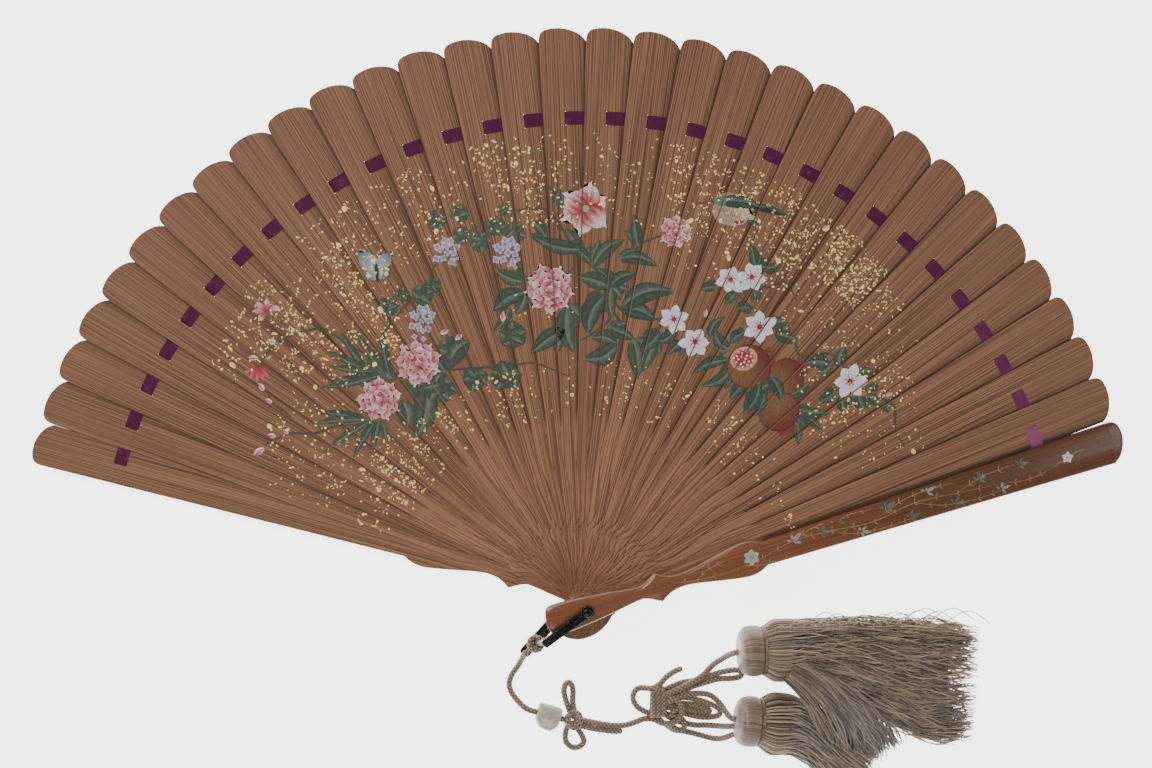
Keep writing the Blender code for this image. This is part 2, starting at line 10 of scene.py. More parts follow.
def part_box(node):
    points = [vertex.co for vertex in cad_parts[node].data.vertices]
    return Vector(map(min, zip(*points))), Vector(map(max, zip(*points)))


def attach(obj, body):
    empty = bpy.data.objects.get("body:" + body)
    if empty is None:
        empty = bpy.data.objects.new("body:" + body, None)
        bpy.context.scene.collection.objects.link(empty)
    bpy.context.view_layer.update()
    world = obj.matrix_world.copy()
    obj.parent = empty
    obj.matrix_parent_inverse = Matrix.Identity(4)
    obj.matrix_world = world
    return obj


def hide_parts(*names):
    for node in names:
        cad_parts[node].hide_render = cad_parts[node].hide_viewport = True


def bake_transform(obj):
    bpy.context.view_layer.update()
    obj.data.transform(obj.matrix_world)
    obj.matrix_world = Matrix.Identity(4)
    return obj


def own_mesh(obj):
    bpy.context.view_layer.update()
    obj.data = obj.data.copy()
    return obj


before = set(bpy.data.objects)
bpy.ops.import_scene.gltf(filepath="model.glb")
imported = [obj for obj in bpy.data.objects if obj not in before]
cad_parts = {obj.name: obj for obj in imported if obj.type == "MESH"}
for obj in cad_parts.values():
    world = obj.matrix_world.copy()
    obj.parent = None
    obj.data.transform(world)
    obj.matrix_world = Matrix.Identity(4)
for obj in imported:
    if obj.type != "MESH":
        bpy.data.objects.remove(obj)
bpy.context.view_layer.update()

bl_info = {
    "name": "Hand fan finishes",
    "version": (1, 0, 0),
    "blender": (4, 5, 0),
    "location": "3D View > Sidebar > Hand fan",
    "description": "Builds the wood, lacquer, ribbon, painting, metal, cord and tassels of a folding fan",
    "category": "Object",
}

MM = 0.001
BLADES = sum(1 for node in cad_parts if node.startswith("blade_"))
SPREAD = math.radians(146.0)
LEAF_STEP = SPREAD / (BLADES + 1)
LEAF_LENGTH = 231.0 * MM
RIBBON_RADIUS = 196.4 * MM
RIBBON_WIDTH = 5.2 * MM
RIBBON_THICKNESS = 0.08 * MM
SLIT_PLAY = 0.1 * MM
SLIT_WIDTH = 0.4 * MM
PIVOT_HOLE = 1.6 * MM
STEP_AT = 76.0
TIP_AT = 226.6
CORD_DIAMETER = 2.6 * MM
CORD_RADIUS = CORD_DIAMETER / 2
CORD_BODY = "rear_guard"
# Half-widths of a leaf, in millimetres: (at the step, at the tip, head past the rivet).
BLADE_SHAPE = (6.2, 9.4, 14.9)
GUARD_SHAPE = (5.0, 8.7, 17.4)
HEAD_CORNER = 3.8


# ---------------------------------------------------------------- shared tools


def tint(red, green, blue):
    """A dyer's swatch, 0 to 255 as it looks, turned into the light that it reflects."""
    out = []
    for part in (red, green, blue):
        share = part / 255
        out.append(share / 12.92 if share <= 0.04045 else ((share + 0.055) / 1.055) ** 2.4)
    return tuple(out)


def leaf_name(index):
    """Body of a leaf, counted from the rear guard at 0."""
    if index == 0:
        return "rear_guard"
    return "front_guard" if index > BLADES else f"blade_{index:02d}"


def leaf_angle(index):
    """Heading of a leaf in the open fan: 0 is the rear guard, BLADES + 1 the front guard."""
    return math.pi / 2 + SPREAD / 2 - index * LEAF_STEP


def leaf_levels(index):
    """Floor and top of a leaf."""
    low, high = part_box(leaf_name(index))
    return low[2], high[2]


def smooth(points, per_span, closed=False):
    """Points on the smooth curve (Catmull-Rom) that runs through the given ones."""
    given = np.array(points, float)
    if closed:
        ring = np.vstack([given[-1:], given, given[:2]])
    else:
        ring = np.vstack([2 * given[0] - given[1], given, 2 * given[-1] - given[-2]])
    out = []
    share = np.linspace(0, 1, per_span, endpoint=False)[:, None]
    for a, b, c, d in zip(ring, ring[1:], ring[2:], ring[3:]):
        bend = (2 * a - 5 * b + 4 * c - d) * share**2 + (3 * b - a - 3 * c + d) * share**3
        out.append((2 * b + (c - a) * share + bend) / 2)
    if not closed:
        out.append(given[-1:])
    return np.vstack(out)


def even(points, step):
    """The same line with its points a step apart."""
    line = np.array(points, float)
    run = np.concatenate([[0], np.cumsum(np.linalg.norm(np.diff(line, axis=0), axis=1))])
    count = max(2, int(round(run[-1] / step)) + 1)
    at = np.linspace(0, run[-1], count)
    return np.stack([np.interp(at, run, line[:, axis]) for axis in range(line.shape[1])], axis=1)


def line_length(points):
    """Length of a line, from end to end along it."""
    return float(np.linalg.norm(np.diff(np.array(points), axis=0), axis=1).sum())


def keep_object(name, mesh, *finishes):
    """An object in the scene that shows a mesh in its finishes."""
    made = bpy.data.objects.new(name, mesh)
    for finish in finishes:
        mesh.materials.append(finish)
    bpy.context.scene.collection.objects.link(made)
    return made


def soften(mesh, angle=40.0):
    """Shade smooth, with a crease where two faces meet at more than the angle."""
    mesh.shade_smooth()
    mesh.set_sharp_from_angle(angle=math.radians(angle))


def mesh_of(name, points, faces, merge=0.0, outward=True):
    """A mesh from points and faces, with doubles merged and faces pointing outwards."""
    bm = bmesh.new()
    corners = [bm.verts.new(point) for point in points]
    for face in faces:
        try:
            bm.faces.new([corners[i] for i in face])
        except ValueError:
            continue
    if merge:
        bmesh.ops.remove_doubles(bm, verts=bm.verts, dist=merge)
    if outward:
        bmesh.ops.recalc_face_normals(bm, faces=bm.faces)
    mesh = bpy.data.meshes.new(name)
    bm.to_mesh(mesh)
    bm.free()
    return mesh


def skin(rings, closed_ends=True, looped=False):
    """Points and faces that join a row of equal rings."""
    count = len(rings[0])
    points = [tuple(point) for ring in rings for point in ring]
    faces = []
    last = len(rings) if looped else len(rings) - 1
    for row in range(last):
        near = row * count
        far = ((row + 1) % len(rings)) * count
        for i in range(count):
            j = (i + 1) % count
            faces.append((near + i, near + j, far + j, far + i))
    if closed_ends and not looped:
        faces.append(tuple(range(count))[::-1])
        faces.append(tuple(range(len(points) - count, len(points))))
    return points, faces


def settle(source, name):
    """Plain mesh object with the source's modifiers applied; the source is removed."""
    bpy.context.view_layer.update()
    graph = bpy.context.evaluated_depsgraph_get()
    mesh = bpy.data.meshes.new_from_object(source.evaluated_get(graph), depsgraph=graph)
    bpy.data.objects.remove(source, do_unlink=True)
    mesh.name = name
    made = bpy.data.objects.new(name, mesh)
    bpy.context.scene.collection.objects.link(made)
    return made


def hand_over(piece, body, slot, *nodes):
    """Fix a finished piece to its body and hide the parts that it replaces."""
    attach(piece, body)
    if nodes:
        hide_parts(*nodes)
    return piece


def point_values(mesh, name, values):
    """One number a point, such as how far a thread stands out."""
    field = mesh.attributes.new(name, "FLOAT", "POINT")
    field.data.foreach_set("value", np.array(values, np.float32))


def turns(sides):
    """Equal angles once round."""
    return np.linspace(0, math.tau, sides + 1)[:-1]


def polar(reach, angle, centre=(0.0, 0.0)):
    """The point at a reach and an angle from a centre."""
    return centre[0] + reach * math.cos(angle), centre[1] + reach * math.sin(angle)


class Growth:
    """A Geometry Nodes tree with named inputs, built up one node at a time."""

    def __init__(self, name, inputs):
        self.tree = bpy.data.node_groups.new(name, "GeometryNodeTree")
        face = self.tree.interface
        face.new_socket("Geometry", in_out="INPUT", socket_type="NodeSocketGeometry")
        self.places = {}
        for label, kind in inputs.items():
            socket = face.new_socket(label, in_out="INPUT", socket_type=f"NodeSocket{kind}")
            self.places[label] = socket.identifier
        face.new_socket("Geometry", in_out="OUTPUT", socket_type="NodeSocketGeometry")
        self.given = self.tree.nodes.new("NodeGroupInput").outputs

    def add(self, kind, output, inputs, settings=None):
        """A node's output, after its settings and then its inputs have been given."""
        node = self.tree.nodes.new(kind)
        for name, value in (settings or {}).items():
            setattr(node, name, value)
        for name, value in inputs.items():
            if isinstance(value, bpy.types.NodeSocket):
                self.tree.links.new(value, node.inputs[name])
            else:
                node.inputs[name].default_value = value
        return node.outputs[output]

    def close(self, geometry, finish):
        """End the tree with plain geometry that wears the finish."""
        plain = self.add("GeometryNodeRealizeInstances", 0, {"Geometry": geometry})
        worn = self.add("GeometryNodeSetMaterial", 0, {"Geometry": plain, "Material": finish})
        self.tree.links.new(worn, self.tree.nodes.new("NodeGroupOutput").inputs["Geometry"])
        return self.tree, self.places


# ---------------------------------------------------------------- finishes


class Flow:
    """One value that runs through a finish and can stand in a sum."""

    def __init__(self, finish, socket):
        self.finish = finish
        self.socket = socket

    def sum(self, operation, first, second):
        return self.finish.add("ShaderNodeMath", {"operation": operation}, {0: first, 1: second})

    def __add__(self, other):
        return self.sum("ADD", self, other)

    def __radd__(self, other):
        return self.sum("ADD", other, self)

    def __sub__(self, other):
        return self.sum("SUBTRACT", self, other)

    def __rsub__(self, other):
        return self.sum("SUBTRACT", other, self)

    def __mul__(self, other):
        return self.sum("MULTIPLY", self, other)

    def __rmul__(self, other):
        return self.sum("MULTIPLY", other, self)

    def __pow__(self, other):
        return self.sum("POWER", self, other)

    def fade(self, low, high):
        """0 below low and 1 above high, smoothly between; low may be the greater."""
        settings = {"interpolation_type": "SMOOTHSTEP"}
        inputs = {"Value": self, "From Min": low, "From Max": high}
        return self.finish.add("ShaderNodeMapRange", settings, inputs)

    def wave(self):
        """A sine of the value, from 0 to 1."""
        turned = self.finish.add("ShaderNodeMath", {"operation": "SINE"}, {0: self})
        return turned * 0.5 + 0.5


class Finish:
    """A node material, built up one node at a time."""

    def __init__(self, name):
        self.material = bpy.data.materials.new(name)
        self.material.use_nodes = True
        self.tree = self.material.node_tree
        self.shader = self.tree.nodes["Principled BSDF"]

    def feed(self, node, inputs):
        for name, value in inputs.items():
            socket = node.inputs[name]
            if isinstance(value, Flow):
                self.tree.links.new(value.socket, socket)
            elif socket.type == "RGBA":
                socket.default_value = (*value[:3], 1.0)
            else:
                socket.default_value = value

    def add(self, kind, settings=None, inputs=None, output=0):
        node = self.tree.nodes.new(kind)
        for name, value in (settings or {}).items():
            if name == "stops":
                ramp = node.color_ramp
                while len(ramp.elements) < len(value):
                    ramp.elements.new(0.5)
                for element, (place, colour) in zip(ramp.elements, value):
                    element.position = place
                    element.color = (*colour, 1.0)
            else:
                setattr(node, name, value)
        self.feed(node, inputs or {})
        return Flow(self, node.outputs[output])

    def surface(self, **inputs):
        """Feed the main shader; a name's underscores stand for spaces."""
        named = {name.replace("_", " "): value for name, value in inputs.items()}
        self.feed(self.shader, named)
        return self.material

    def place(self):
        return self.add("ShaderNodeTexCoord", output=3)

    def chart(self, name):
        return self.add("ShaderNodeUVMap", {"uv_map": name})

    def reading(self, name, output=2):
        """A value that the mesh carries; output 0 is its colour and 2 its number."""
        return self.add("ShaderNodeAttribute", {"attribute_name": name}, output=output)

    def part(self, vector, axis):
        return self.add("ShaderNodeSeparateXYZ", inputs={0: vector}, output=axis)

    def stretched(self, vector, scale, turn=0.0):
        return self.add("ShaderNodeMapping", inputs={0: vector, 2: (0.0, 0.0, turn), 3: scale})

    def noise(self, vector, scale, detail=2.0, rough=0.5, warp=0.0):
        inputs = {
            "Vector": vector,
            "Scale": scale,
            "Detail": detail,
            "Roughness": rough,
            "Distortion": warp,
        }
        return self.add("ShaderNodeTexNoise", inputs=inputs)

    def ramp(self, share, *stops):
        return self.add("ShaderNodeValToRGB", {"stops": stops}, {0: share})

    def mix(self, share, first, second):
        inputs = {0: share, 6: first, 7: second}
        return self.add("ShaderNodeMix", {"data_type": "RGBA"}, inputs, 2)

    def dim(self, colour, share):
        """The colour times a share of itself."""
        settings = {"data_type": "RGBA", "blend_type": "MULTIPLY"}
        grey = self.add("ShaderNodeCombineXYZ", inputs={0: share, 1: share, 2: share})
        return self.add("ShaderNodeMix", settings, {0: 1.0, 6: colour, 7: grey}, 2)

    def bump(self, height, distance, under=None):
        inputs = {"Height": height, "Distance": distance}
        if under is not None:
            inputs["Normal"] = under
        return self.add("ShaderNodeBump", inputs=inputs)


def leaf_chart(finish):
    """(along, across) on a leaf in metres, and the same moved on so that no two leaves match."""
    flat = finish.chart("leaf")
    along = finish.part(flat, 0)
    across = finish.part(flat, 1)
    moved = across + finish.reading("leaf_seed")
    return along, across, finish.add("ShaderNodeCombineXYZ", inputs={0: along, 1: moved})


def grain(finish, chart):
    """Straight lengthwise grain: (fine lines, streaks, broad bands), each 0 to 1."""
    fine = finish.noise(finish.stretched(chart, (9.0, 3000.0, 1.0)), 1.0, 2.0, 0.6)
    streak = finish.noise(finish.stretched(chart, (5.0, 1500.0, 1.0)), 1.0, 3.0, 0.6)
    broad = finish.noise(finish.stretched(chart, (5.0, 70.0, 1.0)), 1.0, 2.0, 0.5)
    return fine, streak, broad


def leaf_wood(name, painted_edge_shade):
    """Thin satin wood. The second argument adds painted shade beside the next leaf's edge and along the
    leaf's own right edge.
    """
    shades = bpy.context.scene.fan_colours
    finish = Finish(name)
    along, across, chart = leaf_chart(finish)
    fine, streak, broad = grain(finish, chart)
    outward = along.fade(0.05, 0.17)
    light = finish.mix(outward, shades.blade_warm, shades.blade)
    dark = finish.mix(outward, shades.blade_warm_streak, shades.blade_streak)
    body = (streak * 0.45 + fine * 0.55).fade(0.37, 0.62)
    colour = finish.mix(body, dark, light)
    colour = finish.dim(colour, broad.fade(0.25, 0.75) * 0.16 + 0.92)
    colour = finish.mix(fine.fade(0.4, 0.3) * 0.3, colour, shades.pore_and_shade)
    # Painted shade: the wood darkens towards the next leaf's left edge, where that leaf's shadow falls, and
    # along this leaf's own right edge.
    if painted_edge_shade:
        cosine, sine = math.cos(LEAF_STEP), math.sin(LEAF_STEP)
        along_next = along * cosine - across * sine
        slope = (BLADE_SHAPE[1] - BLADE_SHAPE[0]) / (TIP_AT - STEP_AT)
        edge = (along_next - STEP_AT * MM) * slope + BLADE_SHAPE[0] * MM
        clear = along * sine + across * cosine - edge
        outer = along_next.fade(0.072, 0.08)
        colour = finish.mix(clear.fade(0.0048, 0.0) * outer * 0.34, colour, shades.pore_and_shade)
        colour = finish.mix(clear.fade(0.0012, 0.0) * outer * 0.66, colour, shades.pore_and_shade)
        far_side = (along - STEP_AT * MM) * slope + BLADE_SHAPE[0] * MM + across
        colour = finish.mix(far_side.fade(0.0022, 0.0) * outer * 0.3, colour, shades.pore_and_shade)
    normal = finish.bump(fine * 0.6 + streak * 0.4, 0.00006)
    return finish.surface(
        Base_Color=colour, Roughness=streak * 0.2 + 0.42, Normal=normal, Specular_IOR_Level=0.32
    )


def guard_lacquer():
    """Clear lacquer over red-brown wood, with a painted highlight along the edges of the handle."""
    shades = bpy.context.scene.fan_colours
    finish = Finish("guard_lacquer")
    along, across, chart = leaf_chart(finish)
    fine, streak, broad = grain(finish, chart)
    body = (streak * 0.6 + fine * 0.4).fade(0.28, 0.72)
    colour = finish.mix(body, shades.lacquer_streak, shades.lacquer)
    # Darker towards the tip.
    outward_dim = along.fade(0.15, 0.07) * 0.42 + 0.58
    colour = finish.dim(colour, (broad.fade(0.2, 0.8) * 0.24 + 0.86) * outward_dim)
    # Painted highlight: a pale line on the crowned edges of the guard, near the handle only.
    rim = finish.reading("rim") * (streak * 0.5 + 0.5)
    colour = finish.mix(rim * along.fade(0.085, 0.06) * 0.6, colour, shades.lacquer_highlight)
    dust = finish.noise(finish.place(), 900.0, 4.0, 0.7)
    normal = finish.bump(fine * 0.5 + streak * 0.5, 0.00003)
    return finish.surface(
        Base_Color=colour,
        Roughness=dust.fade(0.35, 0.75) * 0.16 + 0.24,
        Normal=normal,
        Coat_Weight=dust.fade(0.8, 0.4) * 0.16 + 0.14,
        Coat_Roughness=0.14,
        Specular_IOR_Level=0.35,
    )


def ribbon_silk():
    """Plain-woven silk: threads across and along, with a slight crossways rib."""
    shades = bpy.context.scene.fan_colours
    finish = Finish("ribbon_silk")
    chart = finish.chart("weave")
    along = finish.part(chart, 0)
    across = finish.part(chart, 1)
    warp = (across * 26000.0).wave()
    weft = (along * 21000.0).wave()
    rise = warp * 0.5 + weft * 0.5
    slub = finish.noise(finish.stretched(chart, (3000.0, 200.0, 1.0)), 1.0, 3.0, 0.6)
    fade = finish.reading("faded")
    colour = finish.mix(rise * 0.5 + slub * 0.5, shades.ribbon_shade, shades.ribbon)
    colour = finish.mix(fade, colour, shades.ribbon_faded)
    worn = finish.noise(finish.place(), 260.0, 3.0, 0.6).fade(0.5, 0.8)
    colour = finish.mix(worn * 0.25, colour, shades.ribbon_faded)
    normal = finish.bump(rise, 0.00004)
    finish.shader.inputs["Specular IOR Level"].default_value = 0.2
    return finish.surface(Base_Color=colour, Roughness=rise * 0.15 + 0.55, Normal=normal)


def oxidised_metal(name, bright):
    """Dark oxidised metal with scratches; bright is the rubbed finish of its edges."""
    shades = bpy.context.scene.fan_colours
    finish = Finish(name)
    place = finish.place()
    cloud = finish.noise(place, 520.0, 5.0, 0.65)
    pits = finish.noise(place, 2600.0, 3.0, 0.7)
    lines = finish.noise(finish.stretched(place, (500.0, 6000.0, 900.0), 0.8), 1.0, 3.0, 0.6)
    low = shades.metal_worn if bright else shades.metal
    high = shades.metal_bright if bright else shades.metal_worn
    share = cloud.fade(0.3, 0.8) if bright else (cloud * 0.6 + lines * 0.4).fade(0.45, 0.85)
    colour = finish.mix(share, low, high)
    normal = finish.bump(pits * 0.7 + lines * 0.3, 0.00005)
    rough = cloud * 0.2 + (0.14 if bright else 0.17)
    return finish.surface(Base_Color=colour, Metallic=0.95, Roughness=rough, Normal=normal)


def braided_silk():
    """Tight silk braid: painted highlight on each crossing's crown, painted shade in the grooves, fine
    threads.
    """
    shades = bpy.context.scene.fan_colours
    finish = Finish("braided_silk")
    crown = finish.reading("crown")
    chart = finish.chart("braid")
    lean = finish.reading("lean")
    along = finish.part(chart, 0)
    around = finish.part(chart, 1)
    threads = (along * 9000.0 * lean + around * 9000.0).wave()
    soil = finish.noise(finish.place(), 130.0, 3.0, 0.6)
    # Painted light: the colour follows the braid's height, darker in the grooves and paler on the crowns.
    body = (crown * 0.75 + threads * 0.25).fade(0.15, 0.85)
    colour = finish.mix(body, shades.cord_groove_shade, shades.cord)
    colour = finish.mix(crown.fade(0.72, 0.98) * 0.55, colour, shades.cord_crown_highlight)
    colour = finish.dim(colour, soil.fade(0.2, 0.8) * 0.35 + 0.75)
    normal = finish.bump(threads, 0.00004)
    finish.shader.inputs["Sheen Weight"].default_value = 0.25
    return finish.surface(Base_Color=colour, Roughness=crown * -0.14 + 0.66, Normal=normal)


def silk_thread(name, low, high):
    """Loose twisted silk threads: each with its own tone, ribbed by its twist with painted shade in its
    grooves, glossy.
    """
    finish = Finish(name)
    tone = finish.reading("tone")
    along = finish.reading("along")
    twist = (along * 9500.0 + tone * 40.0).wave()
    drift = finish.noise(finish.place(), 90.0, 2.0, 0.5)
    body = (tone * 0.7 + drift * 0.3).fade(0.12, 0.88)
    colour = finish.mix(body, low, high)
    # Painted shade: darker in the twist's grooves, where the bump is low.
    colour = finish.dim(colour, twist * 0.4 + 0.66)
    normal = finish.bump(twist, 0.00006)
    finish.shader.inputs["Sheen Weight"].default_value = 0.3
    return finish.surface(Base_Color=colour, Roughness=tone * -0.1 + 0.46, Normal=normal)


def satin_wrap():
    """Silk laid side by side along the tassel's cap, with painted shade between the threads."""
    shades = bpy.context.scene.fan_colours
    finish = Finish("satin_wrap")
    rise = finish.reading("crown")
    tone = finish.reading("tone")
    cloud = finish.noise(finish.place(), 240.0, 3.0, 0.6)
    # Darker thread tones, and painted shade between the threads' crowns.
    colour = finish.mix((tone * 0.5 + rise * 0.5).fade(0.1, 0.9), shades.cap_dark_and_groove_shade, shades.cap)
    colour = finish.dim(colour, cloud.fade(0.2, 0.8) * 0.2 + 0.84)
    finish.shader.inputs["Sheen Weight"].default_value = 0.2
    normal = finish.bump(cloud, 0.00005)
    return finish.surface(Base_Color=colour, Roughness=rise * -0.12 + 0.44, Normal=normal)


def gold_thread():
    """Matt gold-brown thread that binds the tassels' necks."""
    shades = bpy.context.scene.fan_colours
    finish = Finish("gold_thread")
    cloud = finish.noise(finish.place(), 800.0, 3.0, 0.6)
    colour = finish.mix(cloud.fade(0.3, 0.7), shades.thread_gold_shade, shades.thread_gold)
    normal = finish.bump(cloud, 0.00004)
    return finish.surface(Base_Color=colour, Metallic=0.15, Roughness=0.5, Normal=normal)


def gold_leaf():
    """Beaten gold, crinkled, thinner in cloudy patches."""
    shades = bpy.context.scene.fan_colours
    finish = Finish("gold_leaf")
    place = finish.place()
    crinkle = finish.noise(place, 2600.0, 4.0, 0.7)
    cloud = finish.noise(place, 600.0, 2.0, 0.5)
    colour = finish.mix(cloud.fade(0.25, 0.75), shades.gold_shade, shades.gold)
    normal = finish.bump(crinkle, 0.00022)
    rough = crinkle * 0.3 + 0.22
    return finish.surface(Base_Color=colour, Metallic=0.3, Roughness=rough, Normal=normal)


def paint():
    """Brushed colour: its own hue, with bristle lines and a little wood showing through."""
    finish = Finish("brushed_paint")
    place = finish.place()
    colour = finish.reading("paint", 0)
    bristle = finish.noise(finish.stretched(place, (1400.0, 420.0, 900.0), 0.5), 1.0, 4.0, 0.65)
    dab = finish.noise(place, 420.0, 3.0, 0.6)
    colour = finish.dim(colour, bristle.fade(0.25, 0.75) * 0.4 + 0.72)
    colour = finish.mix(dab.fade(0.62, 0.8) * 0.25, colour, bpy.context.scene.fan_colours.blade)
    normal = finish.bump(bristle, 0.00005)
    return finish.surface(Base_Color=colour, Roughness=dab * 0.2 + 0.5, Normal=normal)


def shell_inlay():
    """Thin shell: its hue drifts a little from place to place between its own colour, green, pale and rose.
    """
    finish = Finish("shell_inlay")
    place = finish.place()
    colour = finish.reading("paint", 0)
    drift = finish.noise(place, 420.0, 3.0, 0.6, 1.5)
    play = finish.ramp(
        drift, (0.3, tint(70, 190, 150)), (0.5, tint(210, 225, 215)), (0.7, tint(190, 150, 190))
    )
    colour = finish.mix(0.14, colour, play)
    normal = finish.bump(drift, 0.00008)
    return finish.surface(Base_Color=colour, Metallic=0.25, Roughness=drift * 0.15 + 0.18, Normal=normal)


def pale_stone():
    """Polished pale stone with cloudy veins, a little light passing into it."""
    shades = bpy.context.scene.fan_colours
    finish = Finish("pale_stone")
    place = finish.place()
    cloud = finish.noise(place, 150.0, 4.0, 0.6, 0.8)
    vein = finish.noise(finish.stretched(place, (120.0, 400.0, 300.0), 0.4), 1.0, 3.0, 0.6, 1.0)
    colour = finish.mix(cloud.fade(0.3, 0.72), shades.stone_shade, shades.stone)
    colour = finish.mix(vein.fade(0.6, 0.75) * 0.4, colour, shades.stone_vein)
    finish.shader.inputs["Subsurface Weight"].default_value = 0.15
    finish.shader.inputs["Subsurface Scale"].default_value = 0.002
    normal = finish.bump(cloud, 0.00004)
    return finish.surface(
        Base_Color=colour,
        Roughness=cloud * 0.14 + 0.2,
        Normal=normal,
        Coat_Weight=0.35,
        Coat_Roughness=0.12,
    )


def table_cloth():
    """Plain pale floor with a barely visible tooth, glowing a little like a lit studio sweep."""
    shades = bpy.context.scene.fan_colours
    finish = Finish("pale_floor")
    tooth = finish.noise(finish.place(), 900.0, 3.0, 0.6)
    colour = finish.mix(tooth, shades.floor_shade, shades.floor)
    return finish.surface(
        Base_Color=colour,
        Roughness=0.9,
        Normal=finish.bump(tooth, 0.00002),
        Emission_Color=colour,
        Emission_Strength=4.2,
    )


FINISHES = {
    "blade_wood": lambda: leaf_wood("blade_wood", True),
    "inner_wood": lambda: leaf_wood("guard_inner_wood", False),
    "lacquer": guard_lacquer,
    "ribbon": ribbon_silk,
    "metal": lambda: oxidised_metal("oxidised_metal", False),
    "metal_edge": lambda: oxidised_metal("rubbed_metal", True),
    "cord": braided_silk,
    "wrap": satin_wrap,
    "gold_thread": gold_thread,
    "gold_leaf": gold_leaf,
    "paint": paint,
    "shell": shell_inlay,
    "stone": pale_stone,
    "floor": table_cloth,
}
made_finishes = {}


def finish_of(name):
    """The finish of that name, made when it is first asked for."""
    if name not in made_finishes:
        made_finishes[name] = FINISHES[name]()
    return made_finishes[name]


def thread_finish(name, low, high):
    """The silk thread of that name, between a dark and a pale tone."""
    if name not in made_finishes:
        made_finishes[name] = silk_thread(name, low, high)
    return made_finishes[name]


# ---------------------------------------------------------------- sizes and colours


def shade_property(name, description, colour):
    """A colour that the user can change."""
    return bpy.props.FloatVectorProperty(
        name=name, description=description, default=colour, subtype="COLOR", size=3, min=0.0, max=1.0
    )


class FanColours(bpy.types.PropertyGroup):
    blade: shade_property("Blade", "Outer part of the blades", tint(143, 101, 72))
    blade_streak: shade_property("Blade streak", "Darker grain of the outer part", tint(76, 50, 35))
    blade_warm: shade_property("Blade handle", "Blades near the rivet", tint(150, 106, 76))
    blade_warm_streak: shade_property("Handle streak", "Darker grain near the rivet", tint(92, 60, 41))
    # Colour of the open pores, also used for the painted shade beside a leaf's edges.
    pore_and_shade: shade_property("Pores", "Open pores and the shade beside an edge", tint(44, 26, 18))
    lacquer: shade_property("Lacquer", "Lacquered guards", tint(130, 79, 46))
    # Painted highlight along the guards' handle edges.
    lacquer_highlight: shade_property("Lacquer edge", "Rubbed edge of the guards' heads", tint(196, 176, 156))
    lacquer_streak: shade_property("Lacquer streak", "Darker grain of the guards", tint(94, 54, 31))
    ribbon: shade_property("Ribbon", "Ribbon threads", tint(92, 10, 64))
    ribbon_shade: shade_property("Ribbon shade", "Ribbon between its threads", tint(42, 3, 28))
    ribbon_faded: shade_property("Faded ribbon", "Where light has bleached it", tint(140, 70, 106))
    metal: shade_property("Metal", "Oxidised metal", tint(34, 32, 32))
    metal_worn: shade_property("Worn metal", "Where the oxide is thin", tint(112, 110, 108))
    metal_bright: shade_property("Bright metal", "Rubbed edges", tint(215, 215, 212))
    cord: shade_property("Cord", "Braided cord", tint(134, 112, 88))
    # Painted shade in the cord's grooves.
    cord_groove_shade: shade_property("Cord groove", "Between the cord's strands", tint(56, 40, 28))
    # Painted highlight on the cord's crowns.
    cord_crown_highlight: shade_property("Cord crown", "Top of the cord's strands", tint(184, 164, 134))
    cap: shade_property("Cap", "Silk round the tassels' caps", tint(128, 110, 88))
    # Darker cap threads and the painted shade between them.
    cap_dark_and_groove_shade: shade_property("Cap groove", "Between the cap's threads", tint(68, 54, 42))
    thread: shade_property("Thread", "Pale tassel threads", tint(176, 154, 124))
    thread_shade: shade_property("Thread shade", "Darker tassel threads", tint(56, 45, 35))
    swath: shade_property("Swath", "Brown threads across the lower tassel", tint(160, 136, 106))
    swath_shade: shade_property("Swath shade", "Their darker tone", tint(52, 40, 30))
    thread_gold: shade_property("Gold thread", "Band at the tassels' necks", tint(132, 112, 84))
    thread_gold_shade: shade_property("Gold thread shade", "Its darker tone", tint(78, 62, 44))
    gold: shade_property("Gold", "Gold leaf", tint(255, 234, 152))
    gold_shade: shade_property("Gold shade", "Thin gold leaf", tint(242, 196, 106))
    stone: shade_property("Stone", "Bead", tint(178, 174, 152))
    stone_shade: shade_property("Stone shade", "Greener part of the bead", tint(150, 150, 126))
    stone_vein: shade_property("Stone vein", "Veins of the bead", tint(154, 138, 106))
    floor: shade_property("Floor", "Floor under the fan", tint(240, 239, 238))
    floor_shade: shade_property("Floor shade", "Its darker tooth", tint(234, 233, 232))


def size_property(name, description, default, precision=5):
    """A length that the user can change."""
    return bpy.props.FloatProperty(
        name=name, description=description, default=default, unit="LENGTH", precision=precision
    )


class FanSizes(bpy.types.PropertyGroup):
    edge_round: size_property("Edge rounding", "Rounding of a blade's edges", 0.07 * MM)
    guard_edge: size_property("Guard edge", "Thickness of a guard at its sides", 1.5 * MM, 4)
    ribbon_lift: size_property("Ribbon lift", "Gap under the ribbon where it lies on a blade", 0.03 * MM)
    paint_lift: size_property("Paint lift", "Height of the first coat of paint", 0.02 * MM)
    inlay_lift: size_property("Inlay lift", "Height of the guard's gold and shell", 0.03 * MM)
    fleck_size: size_property("Fleck size", "Radius of a usual gold fleck", 0.4 * MM)
    thread_width: size_property("Thread width", "Thickness of a tassel thread", 0.5 * MM)
    fleck_density: bpy.props.FloatProperty(
        name="Fleck density", description="Gold flecks a square metre where they lie thickest",
        default=560000.0, min=0.0,
    )
    thread_count: bpy.props.IntProperty(
        name="Threads", description="Threads of the upper tassel", default=640, min=10
    )
    cap_threads: bpy.props.IntProperty(
        name="Cap threads", description="Threads side by side round a cap", default=84, min=12
    )


# ---------------------------------------------------------------- leaves


